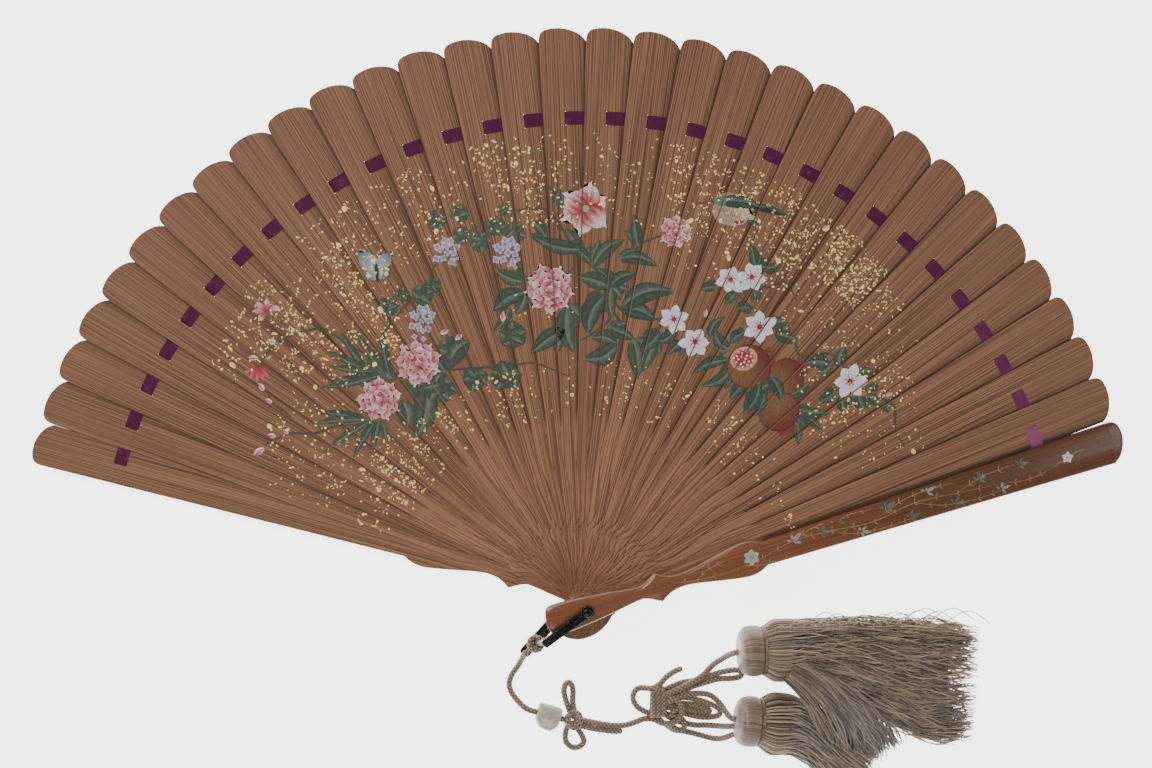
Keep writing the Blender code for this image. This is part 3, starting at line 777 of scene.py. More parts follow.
def leaf_sides(step_half, tip_half, head):
    """Left side from head to step, tip from left to right, and the head's end, in millimetres."""
    lean = math.asin(6.2 / head)
    back = [(head * math.cos(math.pi - a), head * math.sin(a)) for a in np.linspace(0, lean * 0.86, 6)]
    round_corner = [(-head * math.cos(lean) + 0.1, 5.95), (-head * math.cos(lean) + 1.2, 6.2)]
    cusp = (30.5, 6.2)
    handle = smooth([*round_corner, (-6.0, 6.2), (8.0, 4.7), (21.0, 2.8), (25.0, 3.2), cusp], 6)
    shoulder = [(34.0, 4.0), (38.0, 2.9), (44.0, 3.0), (56.0, 5.4), (64.0, 6.9), (68.0, 7.3), (72.0, 6.8)]
    waist = smooth([cusp, *shoulder, (STEP_AT, step_half)], 5)
    length = LEAF_LENGTH / MM
    tip = smooth(
        [(length - 4.4, tip_half), (length - 2.2, tip_half - 0.6), (length - 0.7, tip_half - 2.4),
         (length, tip_half * 0.3), (length - 0.4, tip_half * -0.15), (length - 1.7, tip_half * -0.55),
         (length - 3.4, tip_half * -0.82), (length - 5.6, -tip_half)], 4
    )
    left = np.vstack([back, handle[:-1], waist])
    return left, tip


def leaf_loop(shape):
    """Whole outline of a leaf, in metres."""
    left, tip = leaf_sides(*shape)
    right = left[::-1] * (1.0, -1.0)
    return np.vstack([left, tip, right[:-1]]) * MM


def flat_blank(name, loops, thickness):
    """A flat outline with its holes as a closed solid, its floor at zero height."""
    data = bpy.data.curves.new(name, "CURVE")
    data.dimensions = "2D"
    data.fill_mode = "BOTH"
    data.extrude = thickness / 2
    for loop in loops:
        spline = data.splines.new("POLY")
        spline.points.add(len(loop) - 1)
        spline.use_cyclic_u = True
        for point, (x, y) in zip(spline.points, loop):
            point.co = (x, y, 0.0, 1.0)
    shape = bpy.data.objects.new(name, data)
    bpy.context.scene.collection.objects.link(shape)
    blank = settle(shape, name)
    bm = bmesh.new()
    bm.from_mesh(blank.data)
    bmesh.ops.remove_doubles(bm, verts=bm.verts, dist=0.000001)
    bmesh.ops.recalc_face_normals(bm, faces=bm.faces)
    bmesh.ops.translate(bm, verts=bm.verts, vec=(0.0, 0.0, thickness / 2))
    bm.to_mesh(blank.data)
    bm.free()
    return blank


def chart_leaf(mesh):
    """Lay the leaf's own (along, across) lengths over its faces."""
    chart = mesh.uv_layers.new(name="leaf")
    spots = np.empty(len(mesh.vertices) * 3, np.float32)
    mesh.vertices.foreach_get("co", spots)
    spots = spots.reshape(-1, 3)
    corners = np.empty(len(mesh.loops), np.int32)
    mesh.loops.foreach_get("vertex_index", corners)
    chart.data.foreach_set("uv", spots[corners][:, :2].ravel())


def leaf_tree(finish):
    """Nodes that turn a leaf's blank about the rivet to its place in the open fan."""
    grow = Growth("Place a leaf", {"Heading": "Float", "Floor": "Float", "Grain shift": "Float"})
    given = grow.given
    seeded = grow.add("GeometryNodeStoreNamedAttribute", 0, {
        "Geometry": given["Geometry"], "Name": "leaf_seed", "Value": given["Grain shift"],
    })
    turn = grow.add("ShaderNodeCombineXYZ", 0, {"Z": given["Heading"]})
    shift = grow.add("ShaderNodeCombineXYZ", 0, {"Z": given["Floor"]})
    moved = grow.add("GeometryNodeTransform", 0, {"Geometry": seeded, "Rotation": turn, "Translation": shift})
    return grow.close(moved, finish)


def build_blades(sizes):
    """Thirty thin leaves from one blank, each turned to its heading and lifted to its level."""
    low, high = leaf_levels(1)
    hole = [polar(PIVOT_HOLE, a) for a in turns(24)]
    reach = RIBBON_WIDTH / 2 + SLIT_PLAY
    near, far = RIBBON_RADIUS - reach, RIBBON_RADIUS + reach
    side = SLIT_WIDTH / 2
    slit = [(near, -side), (far, -side), (far, side), (near, side)]
    blank = flat_blank("blade_blank", [leaf_loop(BLADE_SHAPE), hole, slit], high - low)
    chart_leaf(blank.data)
    tree, places = leaf_tree(finish_of("blade_wood"))
    spread = random.Random(7)
    for index in range(1, BLADES + 1):
        source = bpy.data.objects.new("blade_source", blank.data)
        bpy.context.scene.collection.objects.link(source)
        round_edge = source.modifiers.new("edge", "BEVEL")
        round_edge.width = sizes.edge_round
        round_edge.segments = 1
        round_edge.limit_method = "ANGLE"
        round_edge.angle_limit = math.radians(50)
        lay = source.modifiers.new("lay", "NODES")
        lay.node_group = tree
        lay[places["Heading"]] = leaf_angle(index)
        lay[places["Floor"]] = leaf_levels(index)[0]
        lay[places["Grain shift"]] = index * 0.083 + spread.random() * 0.02
        name = leaf_name(index)
        piece = settle(source, f"{name}_wood")
        hand_over(piece, name, "plain_wood", name)
    bpy.data.objects.remove(blank, do_unlink=True)


def guard_rise(u, v, left, right, edge, full):
    """Height of a guard's crowned face over its flat one, at a place in millimetres."""
    half = max((left + right) / 2, 0.001)
    share = min(1.0, abs(v - (left - right) / 2) / half)
    end = min(1.0, max(0.0, (LEAF_LENGTH / MM - u) / 5.0), max(0.0, (u + 17.6) / 3.0))
    crown = (1.0 - share**2.4) ** 0.62 * end**0.4
    return edge + (full - edge) * crown


def guard_widths():
    """Half-width against place along a guard, on its left side and on its right."""
    left, tip = leaf_sides(*GUARD_SHAPE)
    peak = int(np.argmax(tip[:, 0]))
    upper = np.vstack([left, tip[: peak + 1]])
    lower = np.vstack([left, tip[peak:][::-1] * (1.0, -1.0)])
    return upper, lower


def guard_sides(u):
    """Half-widths to the left and right, with the corners of the head's end rounded."""
    upper, lower = GUARD_WIDTHS
    past = min(HEAD_CORNER, max(0.0, HEAD_CORNER - (u + GUARD_SHAPE[2])))
    inset = HEAD_CORNER - math.sqrt(HEAD_CORNER**2 - past**2)
    left, right = np.interp(u, upper[:, 0], upper[:, 1]), np.interp(u, lower[:, 0], lower[:, 1])
    return float(left) - inset, float(right) - inset


GUARD_WIDTHS = guard_widths()


def build_guard(sizes, index, crown_up):
    """One thick outer leaf: crowned and lacquered outside, flat plain wood inside."""
    low, high = leaf_levels(index)
    full = (high - low) / MM
    edge = sizes.guard_edge / MM
    marks = {-17.4, -17.32, -17.2, -17.0, -16.7, -16.3, -15.8, -15.3, 30.5, 75.6}
    marks |= {230.2, 230.5, 230.75, 230.92}
    for start, end, step in ((-15.0, STEP_AT, 1.2), (STEP_AT, 224.0, 4.0), (224.0, 229.9, 0.7)):
        marks.update(np.arange(start, end, step))
    marks.add(STEP_AT + 0.3)
    rings = []
    rims = []
    for u in sorted(marks):
        left, right = guard_sides(u)
        spots = [(-right, 0.0), (left, 0.0)]
        for a in np.linspace(0, math.pi, 15):
            v = (left - right) / 2 + math.cos(a) * (left + right) / 2
            spots.append((v, guard_rise(u, v, left, right, edge, full)))
        ring = []
        for v, rise in spots:
            height = low / MM + rise if crown_up else high / MM - rise
            ring.append((u * MM, v * MM, height * MM))
            outermost = abs(v - (left - right) / 2) > 0.93 * (left + right) / 2
            rims.append(1.0 if outermost and rise > 0 else 0.0)
        rings.append(ring if crown_up else ring[::-1])
    points, faces = skin(rings)
    name = leaf_name(index)
    mesh = mesh_of(f"{name}_body", points, faces)
    chart_leaf(mesh)
    if not crown_up:
        count = len(rings[0])
        rims = [value for row in range(len(rings)) for value in rims[row * count : (row + 1) * count][::-1]]
    # The rim marks where the lacquer's painted highlight goes.
    point_values(mesh, "rim", rims)
    point_values(mesh, "leaf_seed", [index * 0.083 + 0.031] * len(mesh.vertices))
    mesh.transform(Matrix.Rotation(leaf_angle(index), 4, "Z"))
    soften(mesh, 32.0)
    piece = keep_object(f"{name}_body", mesh, finish_of("lacquer"), finish_of("inner_wood"))
    inner = Vector((0.0, 0.0, -1.0 if crown_up else 1.0))
    for face in mesh.polygons:
        if face.normal.dot(inner) > 0.99:
            face.material_index = 1
    hole = bpy.data.meshes.new("pivot_hole")
    bm = bmesh.new()
    middle = Matrix.Translation((0.0, 0.0, (low + high) / 2))
    bmesh.ops.create_cone(
        bm, cap_ends=True, segments=32, radius1=PIVOT_HOLE, radius2=PIVOT_HOLE, depth=0.01, matrix=middle
    )
    bm.to_mesh(hole)
    bm.free()
    drill = keep_object("pivot_drill", hole)
    cut = piece.modifiers.new("drill", "BOOLEAN")
    cut.operation = "DIFFERENCE"
    cut.solver = "EXACT"
    cut.object = drill
    settled = settle(piece, f"{name}_lacquer")
    bpy.data.objects.remove(drill, do_unlink=True)
    hand_over(settled, name, "lacquered_wood", name)


# ---------------------------------------------------------------- painting


INK = tint(30, 38, 28)
LEAF_DARK = tint(36, 54, 44)
LEAF_DULL = tint(70, 74, 50)
STEM = tint(70, 66, 42)
CRIMSON = tint(150, 6, 34)
ROSE = tint(216, 112, 126)
WHITE = tint(232, 222, 216)
VIOLET = tint(112, 106, 156)
LEAF_PALE = tint(66, 90, 72)
LEAF_DRY = tint(98, 98, 64)
# The turn from one seed or floret to the next, in radians, so that they fill a round evenly.
SEED_TURN = 2.4


def between(first, second, share):
    """A colour or a place part of the way from the first to the second."""
    return tuple(a + (b - a) * share for a, b in zip(first, second))


class Painting:
    """Patches of colour in millimetres, each a grid of points with a colour at every point."""

    def __init__(self):
        self.pieces = []
        self.laid = 0
        self.rng = random.Random(3)

    def grid(self, points, colours, level):
        """points and colours are rows of equal length; level is the coat that it lies in."""
        self.laid += 1
        level += self.laid % 40 * 0.012
        for row in range(len(points) - 1):
            for i in range(len(points[0]) - 1):
                spots = ((row, i), (row, i + 1), (row + 1, i + 1), (row + 1, i))
                corners = [(*points[r][c], *colours[r][c]) for r, c in spots]
                self.pieces.append((level, corners[:3]))
                self.pieces.append((level, [corners[0], corners[2], corners[3]]))

    def stroke(self, route, width, colour, level=1):
        """A brush line through the points, thin at its ends."""
        line = smooth(route, 5)
        ways = np.gradient(line, axis=0)
        ways /= np.linalg.norm(ways, axis=1)[:, None] + 1e-9
        rows, tones = [], []
        for i, (spot, way) in enumerate(zip(line, ways)):
            share = i / (len(line) - 1)
            half = width / 2 * (0.35 + 0.65 * math.sin(math.pi * share))
            side = half * np.array([-way[1], way[0]])
            rows.append([tuple(spot + side), tuple(spot - side)])
            tone = between(colour, INK, 0.3 * self.rng.random())
            tones.append([tone, tone])
        self.grid(rows, tones, level)

    def blade_leaf(self, root, tip, width, bend=0.15, level=1, dull=0.0):
        """A leaf from its root to its tip: dark along the rib, paler towards the edge."""
        root, tip = np.array(root, float), np.array(tip, float)
        way = tip - root
        length = np.linalg.norm(way)
        across = np.array([-way[1], way[0]]) / (length + 1e-9)
        dark = between(LEAF_DARK, LEAF_DULL, dull)
        pale = between(LEAF_PALE, LEAF_DRY, dull)
        edge = between(dark, INK, 0.35)
        rows, tones = [], []
        steps = 9
        for i in range(steps + 1):
            share = i / steps
            half = width / 2 * math.sin(math.pi * share**0.8) ** 0.85
            middle = root + way * share + across * bend * length * math.sin(math.pi * share)
            sides = (1.0, 0.5, 0.07, -0.07, -0.5, -1.0)
            rows.append([tuple(middle + across * half * side) for side in sides])
            left = between(dark, pale, 0.3 + 0.4 * (i % 2))
            right = between(dark, pale, 0.15 + 0.3 * (i % 2))
            tones.append([edge, left, between(pale, WHITE, 0.06), edge, right, edge])
        self.grid(rows, tones, level)

    def lobed_leaf(self, centre, radius, heading, level=1, dull=0.2):
        """A vine leaf: five pointed lobes round the end of its stalk."""
        for turn, share in ((0.0, 1.0), (1.05, 0.82), (-1.05, 0.82), (2.0, 0.6), (-2.0, 0.6)):
            a = heading + turn
            tip, root = polar(radius * share, a, centre), polar(-radius * 0.12, a, centre)
            self.blade_leaf(root, tip, radius * 0.95 * share + radius * 0.25, 0.06 * (1 if turn > 0 else -1),
                            level, min(1.0, dull + 0.15 * self.rng.random()))

    def petal(self, centre, heading, start, end, width, root, edge, level, ruffle=0.0, rays=0.0, point=0.0):
        """A petal that grows outwards from start to end; rays are fine lines from its root."""
        rows, tones = [], []
        steps, sides = 7, 8
        phase = self.rng.uniform(0, math.tau)
        cosine, sine = math.cos(heading), math.sin(heading)
        for i in range(steps + 1):
            share = i / steps
            swell = math.sin(math.pi * (0.12 + 0.8 * share ** (0.8 + point)))
            half = width / 2 * swell ** (0.75 + 1.2 * point)
            if share == 1.0:
                half *= 0.55 - 0.5 * point
            row, tone = [], []
            for k in range(sides + 1):
                side = k / sides * 2 - 1
                x = start + (end - start) * share * (1.0 - 0.16 * (1 - point) * side * side)
                x += ruffle * (end - start) * share**3 * math.sin(side * 7.0 + phase)
                y = half * side
                row.append((centre[0] + x * cosine - y * sine, centre[1] + x * sine + y * cosine))
                mixed = max(0.0, 1.0 - share * 1.02) ** 0.75
                line = rays * max(0.0, math.cos(side * 14.0 + phase)) * (1.0 - share) ** 0.7
                rim = 0.3 if abs(side) > 0.95 else 0.0
                tone.append(between(edge, root, min(1.0, mixed + line + rim)))
            rows.append(row)
            tones.append(tone)
        self.grid(rows, tones, level)

    def peony(self, centre, radius, lean=0.0):
        """A full double flower: three rings of rosy petals edged in white round a closed heart."""
        rings = ((2, 9, 0.42, 1.0, 0.62), (3, 7, 0.18, 0.76, 0.6), (4, 5, 0.0, 0.5, 0.52))
        for level, count, start, end, width in rings:
            for number in range(count):
                a = lean + math.tau * (number + 0.37 * level) / count + self.rng.uniform(-0.12, 0.12)
                far = end * self.rng.uniform(0.93, 1.05)
                edge = between(ROSE, WHITE, 0.45 + 0.5 * self.rng.random())
                self.petal(centre, a, start * radius, far * radius, width * radius, CRIMSON, edge,
                           level + (number % 2) * 0.45, 0.06, 0.5)
        heart = lean + 1.2
        self.petal(centre, heart, -0.16 * radius, 0.2 * radius, 0.3 * radius, CRIMSON, WHITE, 5.2)

    def open_flower(self, centre, radius, lean=0.0):
        """Six wide ruffled white petals with crimson rays and a green heart."""
        for number in range(6):
            a = lean + math.tau * number / 6 + self.rng.uniform(-0.1, 0.1)
            far = radius * self.rng.uniform(0.88, 1.08)
            self.petal(centre, a, 0.04 * radius, far, radius * 0.98, CRIMSON, WHITE, 2 + (number % 3) * 0.5,
                       0.07, 0.55)
        self.dot(centre, radius * 0.13, tint(110, 170, 130), 4.2)

    def star_flower(self, centre, radius, lean=0.0):
        """A white star with violet-grey folds and red stamens."""
        for number in range(6):
            a = lean + math.tau * number / 6 + self.rng.uniform(-0.14, 0.14)
            self.petal(centre, a, 0.05 * radius, radius * self.rng.uniform(0.85, 1.1), radius * 0.6,
                       tint(190, 186, 200), WHITE, 3 + (number % 2) * 0.5, 0.0, 0.4, 0.5)
        for number in range(7):
            end = polar(radius * self.rng.uniform(0.26, 0.42), lean + number * 0.9, centre)
            self.stroke([centre, between(centre, end, 0.5), end], 0.4, CRIMSON, 4.4)
        self.dot(centre, radius * 0.15, CRIMSON, 4.6)

    def dot(self, centre, radius, colour, level, squeeze=1.0, lean=0.0, rim=None):
        """A filled oval, with a rim of its own colour if one is given."""
        cosine, sine = math.cos(lean), math.sin(lean)
        rows, tones = [], []
        for share in (0.02, 0.6, 1.0):
            row = []
            for a in np.linspace(0, math.tau, 13):
                x, y = radius * share * math.cos(a), radius * share * squeeze * math.sin(a)
                row.append((centre[0] + x * cosine - y * sine, centre[1] + x * sine + y * cosine))
            rows.append(row)
            tones.append([rim if rim is not None and share == 1.0 else colour] * 13)
        self.grid(rows, tones, level)

    def cluster(self, centre, radius, count):
        """A hanging head of small violet and white florets."""
        for number in range(count):
            share = number / count
            a = number * SEED_TURN
            x, y = polar(radius * math.sqrt(share) * 0.95, a, centre)
            spot = (x, y - share * radius * 0.5)
            for turn in range(4):
                edge = between(WHITE, VIOLET, 0.18 + 0.2 * self.rng.random())
                self.petal(spot, turn * math.pi / 2 + a, 0.0, radius * 0.32, radius * 0.3, VIOLET, edge,
                           2 + (number % 3) * 0.5)

    def bud(self, centre, length, heading, level=3):
        """A closed flower: a pale petal with a crimson one folded over it."""
        self.petal(centre, heading, 0.0, length, length * 0.5, WHITE, ROSE, level, 0.0, 0.0, 0.3)
        self.petal(centre, heading + 0.16, 0.0, length * 0.95, length * 0.26, tint(214, 120, 130), CRIMSON,
                   level + 0.5, 0.0, 0.0, 0.4)

    def pomegranate(self, centre, radius, heading, split):
        """A round ochre fruit with a red blush, its crown, and seeds where its skin has split."""
        ochre, red, shade = tint(112, 76, 40), tint(96, 16, 14), tint(40, 22, 16)
        rows, tones = [], []
        for share in (0.02, 0.35, 0.7, 0.92, 1.0):
            row, tone = [], []
            for a in np.linspace(0, math.tau, 25):
                row.append(polar(radius * share, a, centre))
                blush = 0.5 + 0.5 * math.cos(a - heading)
                skin_tone = between(ochre, red, blush * share**0.6)
                tone.append(between(skin_tone, shade, 0.8 if share == 1.0 else 0.0))
            rows.append(row)
            tones.append(tone)
        self.grid(rows, tones, 2.5)
        for turn in (-0.3, 0.0, 0.3):
            a = heading + turn
            root, tip = polar(radius * 0.9, a, centre), polar(radius * 1.35, a, centre)
            self.petal(root, a, 0.0, math.dist(root, tip), radius * 0.32, tint(96, 26, 22), tint(130, 64, 42),
                       2.9, 0, 0, 0.5)
        for number in range(34):
            freckle = polar(radius * 0.85 * math.sqrt((number + 0.5) / 34), number * SEED_TURN, centre)
            self.dot(freckle, 0.22, tint(70, 60, 40), 3.0)
        if split:
            hole = (centre[0] - radius * 0.25, centre[1] + radius * 0.35)
            self.dot(hole, radius * 0.62, tint(150, 30, 44), 3.6, 0.86, 0.3, tint(196, 160, 120))
            for number in range(20):
                a, reach = number * SEED_TURN, radius * 0.5 * math.sqrt((number + 0.5) / 20)
                spot = (hole[0] + reach * math.cos(a), hole[1] + reach * math.sin(a) * 0.86)
                self.dot(spot, 0.62, tint(238, 196, 196), 4.0, 0.8, a, CRIMSON)

    def butterfly(self, centre, size, lean):
        """Four pale wings with blue and grey edges, an eye on each hind wing."""
        blue, grey = tint(30, 74, 120), tint(60, 58, 52)
        wings = (
            (2.35, 1.0, 0.62, blue), (0.75, 0.95, 0.5, blue), (-2.5, 0.62, 0.6, grey),
            (-0.55, 0.6, 0.55, grey),
        )
        for turn, reach, wide, edge in wings:
            self.petal(centre, lean + turn, 0.4, size * reach, size * wide, tint(150, 160, 156), edge, 3,
                       0.03, 0.0, 0.1)
        for turn in (-2.5, -0.55):
            eye = polar(size * 0.4, lean + turn, centre)
            self.dot(eye, size * 0.11, tint(214, 204, 176), 4, 1.0, 0.0, INK)
        body = [(centre[0] - 0.2, centre[1] + size * 0.2), centre, (centre[0] + 0.3, centre[1] - size * 0.5)]
        self.stroke(body, size * 0.16, INK, 4.4)

    def bird(self, at):
        """A small bird with a long bill: green back, dark tail, pale belly."""
        x, y = at
        self.petal((x + 1.0, y - 1.0), -0.35, -3.0, 15.0, 13.0, tint(150, 124, 104), tint(206, 186, 164), 2,
                   0.03, 0.7)
        for number in range(15):
            start = (x + 1.0 + number * 0.9, y - 1.0 - number * 0.25)
            end = (start[0] + 2.2, start[1] - 5.2 - 2.0 * math.sin(number * 0.35))
            self.stroke([start, between(start, end, 0.5), end], 0.25, tint(126, 100, 82), 2.6)
        self.blade_leaf((x - 0.5, y + 1.0), (x + 18.0, y - 1.6), 5.4, 0.06, 3)
        self.blade_leaf((x + 13.0, y - 0.6), (x + 28.0, y - 4.6), 3.2, 0.02, 3.5)
        for number in range(3):
            quill = [(x + 14, y - 1.2 - number * 0.4), (x + 20, y - 2.2 - number * 0.5), (x + 26, y - 4.2)]
            self.stroke(quill, 0.9, INK, 4)
        self.blade_leaf((x + 11.0, y - 6.5), (x + 17.0, y - 9.5), 2.4, 0.0, 3.5)
        self.dot((x + 0.6, y + 1.4), 2.5, tint(84, 116, 96), 3.6, 0.9)
        self.dot((x + 0.2, y + 1.8), 0.5, INK, 4.4)
        bill = [(x - 1.6, y + 1.0), (x - 6.0, y + 0.4), (x - 11.0, y - 0.2)]
        self.stroke(bill, 0.7, tint(112, 52, 42), 4)
        for foot in ((x + 7.0, y - 7.4), (x + 9.2, y - 6.8)):
            self.dot(foot, 0.9, tint(118, 50, 44), 4)


def flower_garden():
    """The fan's painting: peonies, vine and pomegranates on leafy stems, a bird and a butterfly."""
    art = Painting()
    stem = [
        [(-14, 129), (-4, 140), (-12, 157), (-20, 161), (-34, 158), (-46, 152)],
        [(-12, 157), (-10, 165), (-17, 170), (-23, 168)], [(10, 130), (3, 138), (-8, 146), (-12, 157)],
        [(10, 130), (16, 136), (21, 146), (29, 150), (34, 151)],
        [(10, 130), (14, 121), (24, 118), (30, 117), (36, 117)],
        [(-7, 94), (-20, 99), (-30, 98), (-44, 97), (-58, 96), (-72, 94)],
        [(10, 130), (11, 119), (4, 112), (-6, 106)],
        [(-54, 148), (-60, 138), (-63, 132), (-72, 122), (-80, 112), (-84, 104)],
        [(-32, 146), (-24, 134), (-20, 128)],
        [(19, 109), (14, 116), (10, 122)], [(22, 96), (26, 108), (34, 117), (44, 110)],
        [(63, 124), (66, 130), (74, 130), (80, 132), (85, 124)], [(66, 97), (72, 110), (70, 118), (62, 126)],
        [(78, 108), (84, 108), (87, 102), (99, 103), (107, 94)],
        [(107, 92), (117, 86), (125, 82), (126, 72), (130, 65)],
        [(-84, 100), (-97, 108), (-105, 113), (-115, 112), (-125, 118)],
        [(-115, 111), (-122, 108), (-129, 101), (-130, 96)],
        [(-128, 89), (-126, 83), (-121, 79), (-115, 73)],
        [(-88, 74), (-101, 73), (-110, 70), (-120, 70), (-130, 65)],
    ]
    for route in stem:
        art.stroke(route, 1.1, STEM, 1)
    leaves = [
        ((-1, 145), (-21, 150), 5), ((3, 138), (16, 149), 5), ((13, 141), (29, 138), 4.5),
        ((21, 146), (19, 159), 4),
        ((10, 130), (20, 135), 4.5), ((14, 121), (36, 128), 7), ((10, 130), (11, 117), 5),
        ((8, 127), (1, 110), 7),
        ((-7, 123), (-4, 103), 7), ((-8, 113), (-22, 103), 6), ((13, 107), (-1, 101), 6.5),
        ((9, 114), (20, 109), 4.5),
        ((19, 109), (21, 93), 6), ((28, 111), (22, 95), 5.5), ((-24, 132), (-36, 137), 5),
        ((-24, 128), (-37, 120), 6),
        ((10, 130), (-3, 134), 6), ((-12, 162), (-10, 169), 2.6), ((-16, 150), (-22, 156), 4),
        ((2, 141), (-5, 149), 4),
        ((30, 112), (22, 104), 5), ((60, 100), (46, 90), 4.5), ((58, 101), (43, 95), 4),
        ((58, 105), (52, 113), 4.5),
        ((84, 81), (99, 79), 4), ((84, 80), (96, 72), 4), ((83, 78), (86, 66), 3.6), ((80, 86), (91, 92), 4),
        ((70, 90), (64, 78), 5), ((76, 92), (71, 80), 4.5), ((75, 95), (83, 85), 5),
        ((68, 92), (58, 84), 4.5),
        ((40, 108), (33, 103), 4), ((36, 113), (28, 108), 4.5), ((50, 110), (56, 118), 3.4),
        ((52, 130), (46, 129), 3.6),
        ((60, 128), (56, 123), 3.6), ((70, 138), (78, 139), 4), ((68, 138), (66, 147), 3.6),
        ((74, 114), (82, 116), 4.4),
        ((76, 111), (86, 108), 4.6), ((64, 112), (58, 107), 4), ((66, 122), (60, 121), 4),
        ((68, 124), (70, 131), 3.4),
        ((99, 99), (87, 99), 5.4), ((103, 98), (105, 106), 4.4), ((110, 95), (117, 96), 3.4),
        ((101, 88), (94, 84), 4),
        ((104, 86), (105, 79), 4), ((110, 86), (113, 80), 4.4), ((113, 86), (119, 82), 4),
        ((115, 88), (118, 92), 3),
        ((120, 83), (123, 79), 3), ((-31, 122), (-37, 112), 3.6), ((-54, 100), (-46, 108), 7),
        ((-56, 96), (-64, 104), 6),
    ]
    for root, tip, width in leaves:
        art.blade_leaf(root, tip, width * 1.2, art.rng.uniform(-0.16, 0.16), 1.5 + art.rng.random() * 0.4,
                       art.rng.random() * 0.45)
        turn, reach = art.rng.choice((-0.62, 0.62)), art.rng.uniform(0.5, 0.75)
        x, y = tip[0] - root[0], tip[1] - root[1]
        side = (root[0] + reach * (x * math.cos(turn) - y * math.sin(turn)),
                root[1] + reach * (x * math.sin(turn) + y * math.cos(turn)))
        art.blade_leaf(root, side, width, art.rng.uniform(-0.2, 0.2), 1.1, art.rng.random() * 0.6)
    blades_up = [(-98, 112), (-103, 104), (-103, 98), (-102, 92), (-107, 89), (-92, 113), (-81, 113)]
    for number, tip in enumerate(blades_up):
        root = (-88 + number * 1.6, 97 - number * 0.6)
        art.blade_leaf(root, tip, 3.4, 0.03, 1.5 + 0.05 * number, 0.15 * (number % 3))
    for number, tip in enumerate(((-109, 79), (-111, 74), (-106, 62), (-94, 60), (-86, 63), (-80, 66))):
        art.blade_leaf((-88 + number * 1.2, 76), tip, 3.2, -0.03, 1.5 + 0.05 * number, 0.2 * (number % 3))
    broad = [
        ((-76, 92), (-88, 106), 8), ((-72, 94), (-62, 80), 9), ((-64, 92), (-69, 67), 10),
        ((-64, 90), (-51, 87), 9), ((-74, 84), (-72, 72), 8), ((-60, 98), (-48, 102), 8),
    ]
    for root, tip, width in broad:
        art.blade_leaf(root, tip, width, 0.08, 1.3, 0.45)
    vine = [
        ((-58, 156), 5.5, 2.6), ((-50, 158), 5, 1.3), ((-49, 151), 5.4, -1.8), ((-42, 149), 6, -1.4),
        ((-36, 153), 5.6, 1.2), ((-29, 152), 6, -0.4), ((-32, 160), 3.4, 1.6), ((-78, 121), 5.6, 2.4),
        ((-73, 126), 4.2, 1.4), ((-66, 126), 6, 0.4), ((-61, 130), 4.6, 1.0), ((-29, 109), 7.6, 1.6),
        ((-44, 94), 7, -1.8), ((-31, 95), 8.4, -2.2), ((-54, 104), 8, 0.9), ((-60, 90), 8.4, -0.9),
    ]
    for spot, radius, heading in vine:
        art.lobed_leaf(spot, radius, heading, 1.4, 0.1 + 0.4 * art.rng.random())
    heads = [
        ((-55, 146), 5.4), ((-31, 146), 5.8), ((-65, 119), 5.4), ((-28, 140), 3.0), ((-52, 140.5), 2.4),
        ((-65, 112), 4.0),
    ]
    for spot, radius in heads:
        art.cluster(spot, radius, 13 if radius > 5 else 5)
    art.peony((-14, 129), 10.6)
    art.peony((-67, 99), 10.0, 0.5)
    art.peony((-83, 84), 9.6, 1.1)
    art.peony((36, 152), 7.0, 0.3)
    art.open_flower((0, 161), 10.4, 0.4)
    stars = [
        ((58, 133), 6.6, 0.2), ((66.5, 134), 6.8, 0.9), ((35.5, 117), 6.4, 0.4), ((44, 108), 7.0, 1.1),
        ((70, 114), 7.2, 0.5), ((107, 92), 7.6, 0.1),
    ]
    for spot, radius, lean in stars:
        art.star_flower(spot, radius, lean)
    art.pomegranate((66, 98), 9.0, 0.4, True)
    art.pomegranate((81, 94), 7.4, 0.6, False)
    art.pomegranate((78, 80), 8.4, -1.1, False)
    for root, tip, width in (((70, 92), (64, 79), 5), ((74, 94), (79, 84), 5.4), ((72, 88), (68, 78), 4.4)):
        art.blade_leaf(root, tip, width, 0.1, 4.4)
    buds = [
        ((-33, 116), 4.6, 1.5), ((-58, 111), 4, 0.4), ((-52, 108.5), 4, 0.7), ((-129, 88), 4, 2.2),
        ((-126, 83), 3.4, 2.6), ((-130, 64), 5.4, 3.7), ((-125, 69), 3.6, 2.9), ((-124, 107), 3.6, 2.6),
        ((-131, 101), 4.2, 3.0), ((122, 86), 3.2, 0.5), ((48, 118), 3.4, 1.4), ((-120, 70), 3, 2.4),
    ]
    for spot, length, heading in buds:
        art.bud(spot, length, heading)
    for a in (0.4, 1.5, 2.4, 3.1, 4.0):
        edge = between(WHITE, ROSE, 0.4)
        art.petal((-127, 120), a, 0.3, 5.6, 2.6, CRIMSON, edge, 3 + a * 0.2, 0.02, 0.3, 0.4)
    for a in (3.6, 4.1, 4.6, 5.0, 5.4):
        art.petal((-131, 98), a, 0.4, 7.0, 1.7, CRIMSON, ROSE, 3 + (a % 1) * 0.5, 0.0, 0.5, 0.4)
    art.butterfly((-83, 137), 10.5, 0.05)
    art.bird((53, 163))
    return art


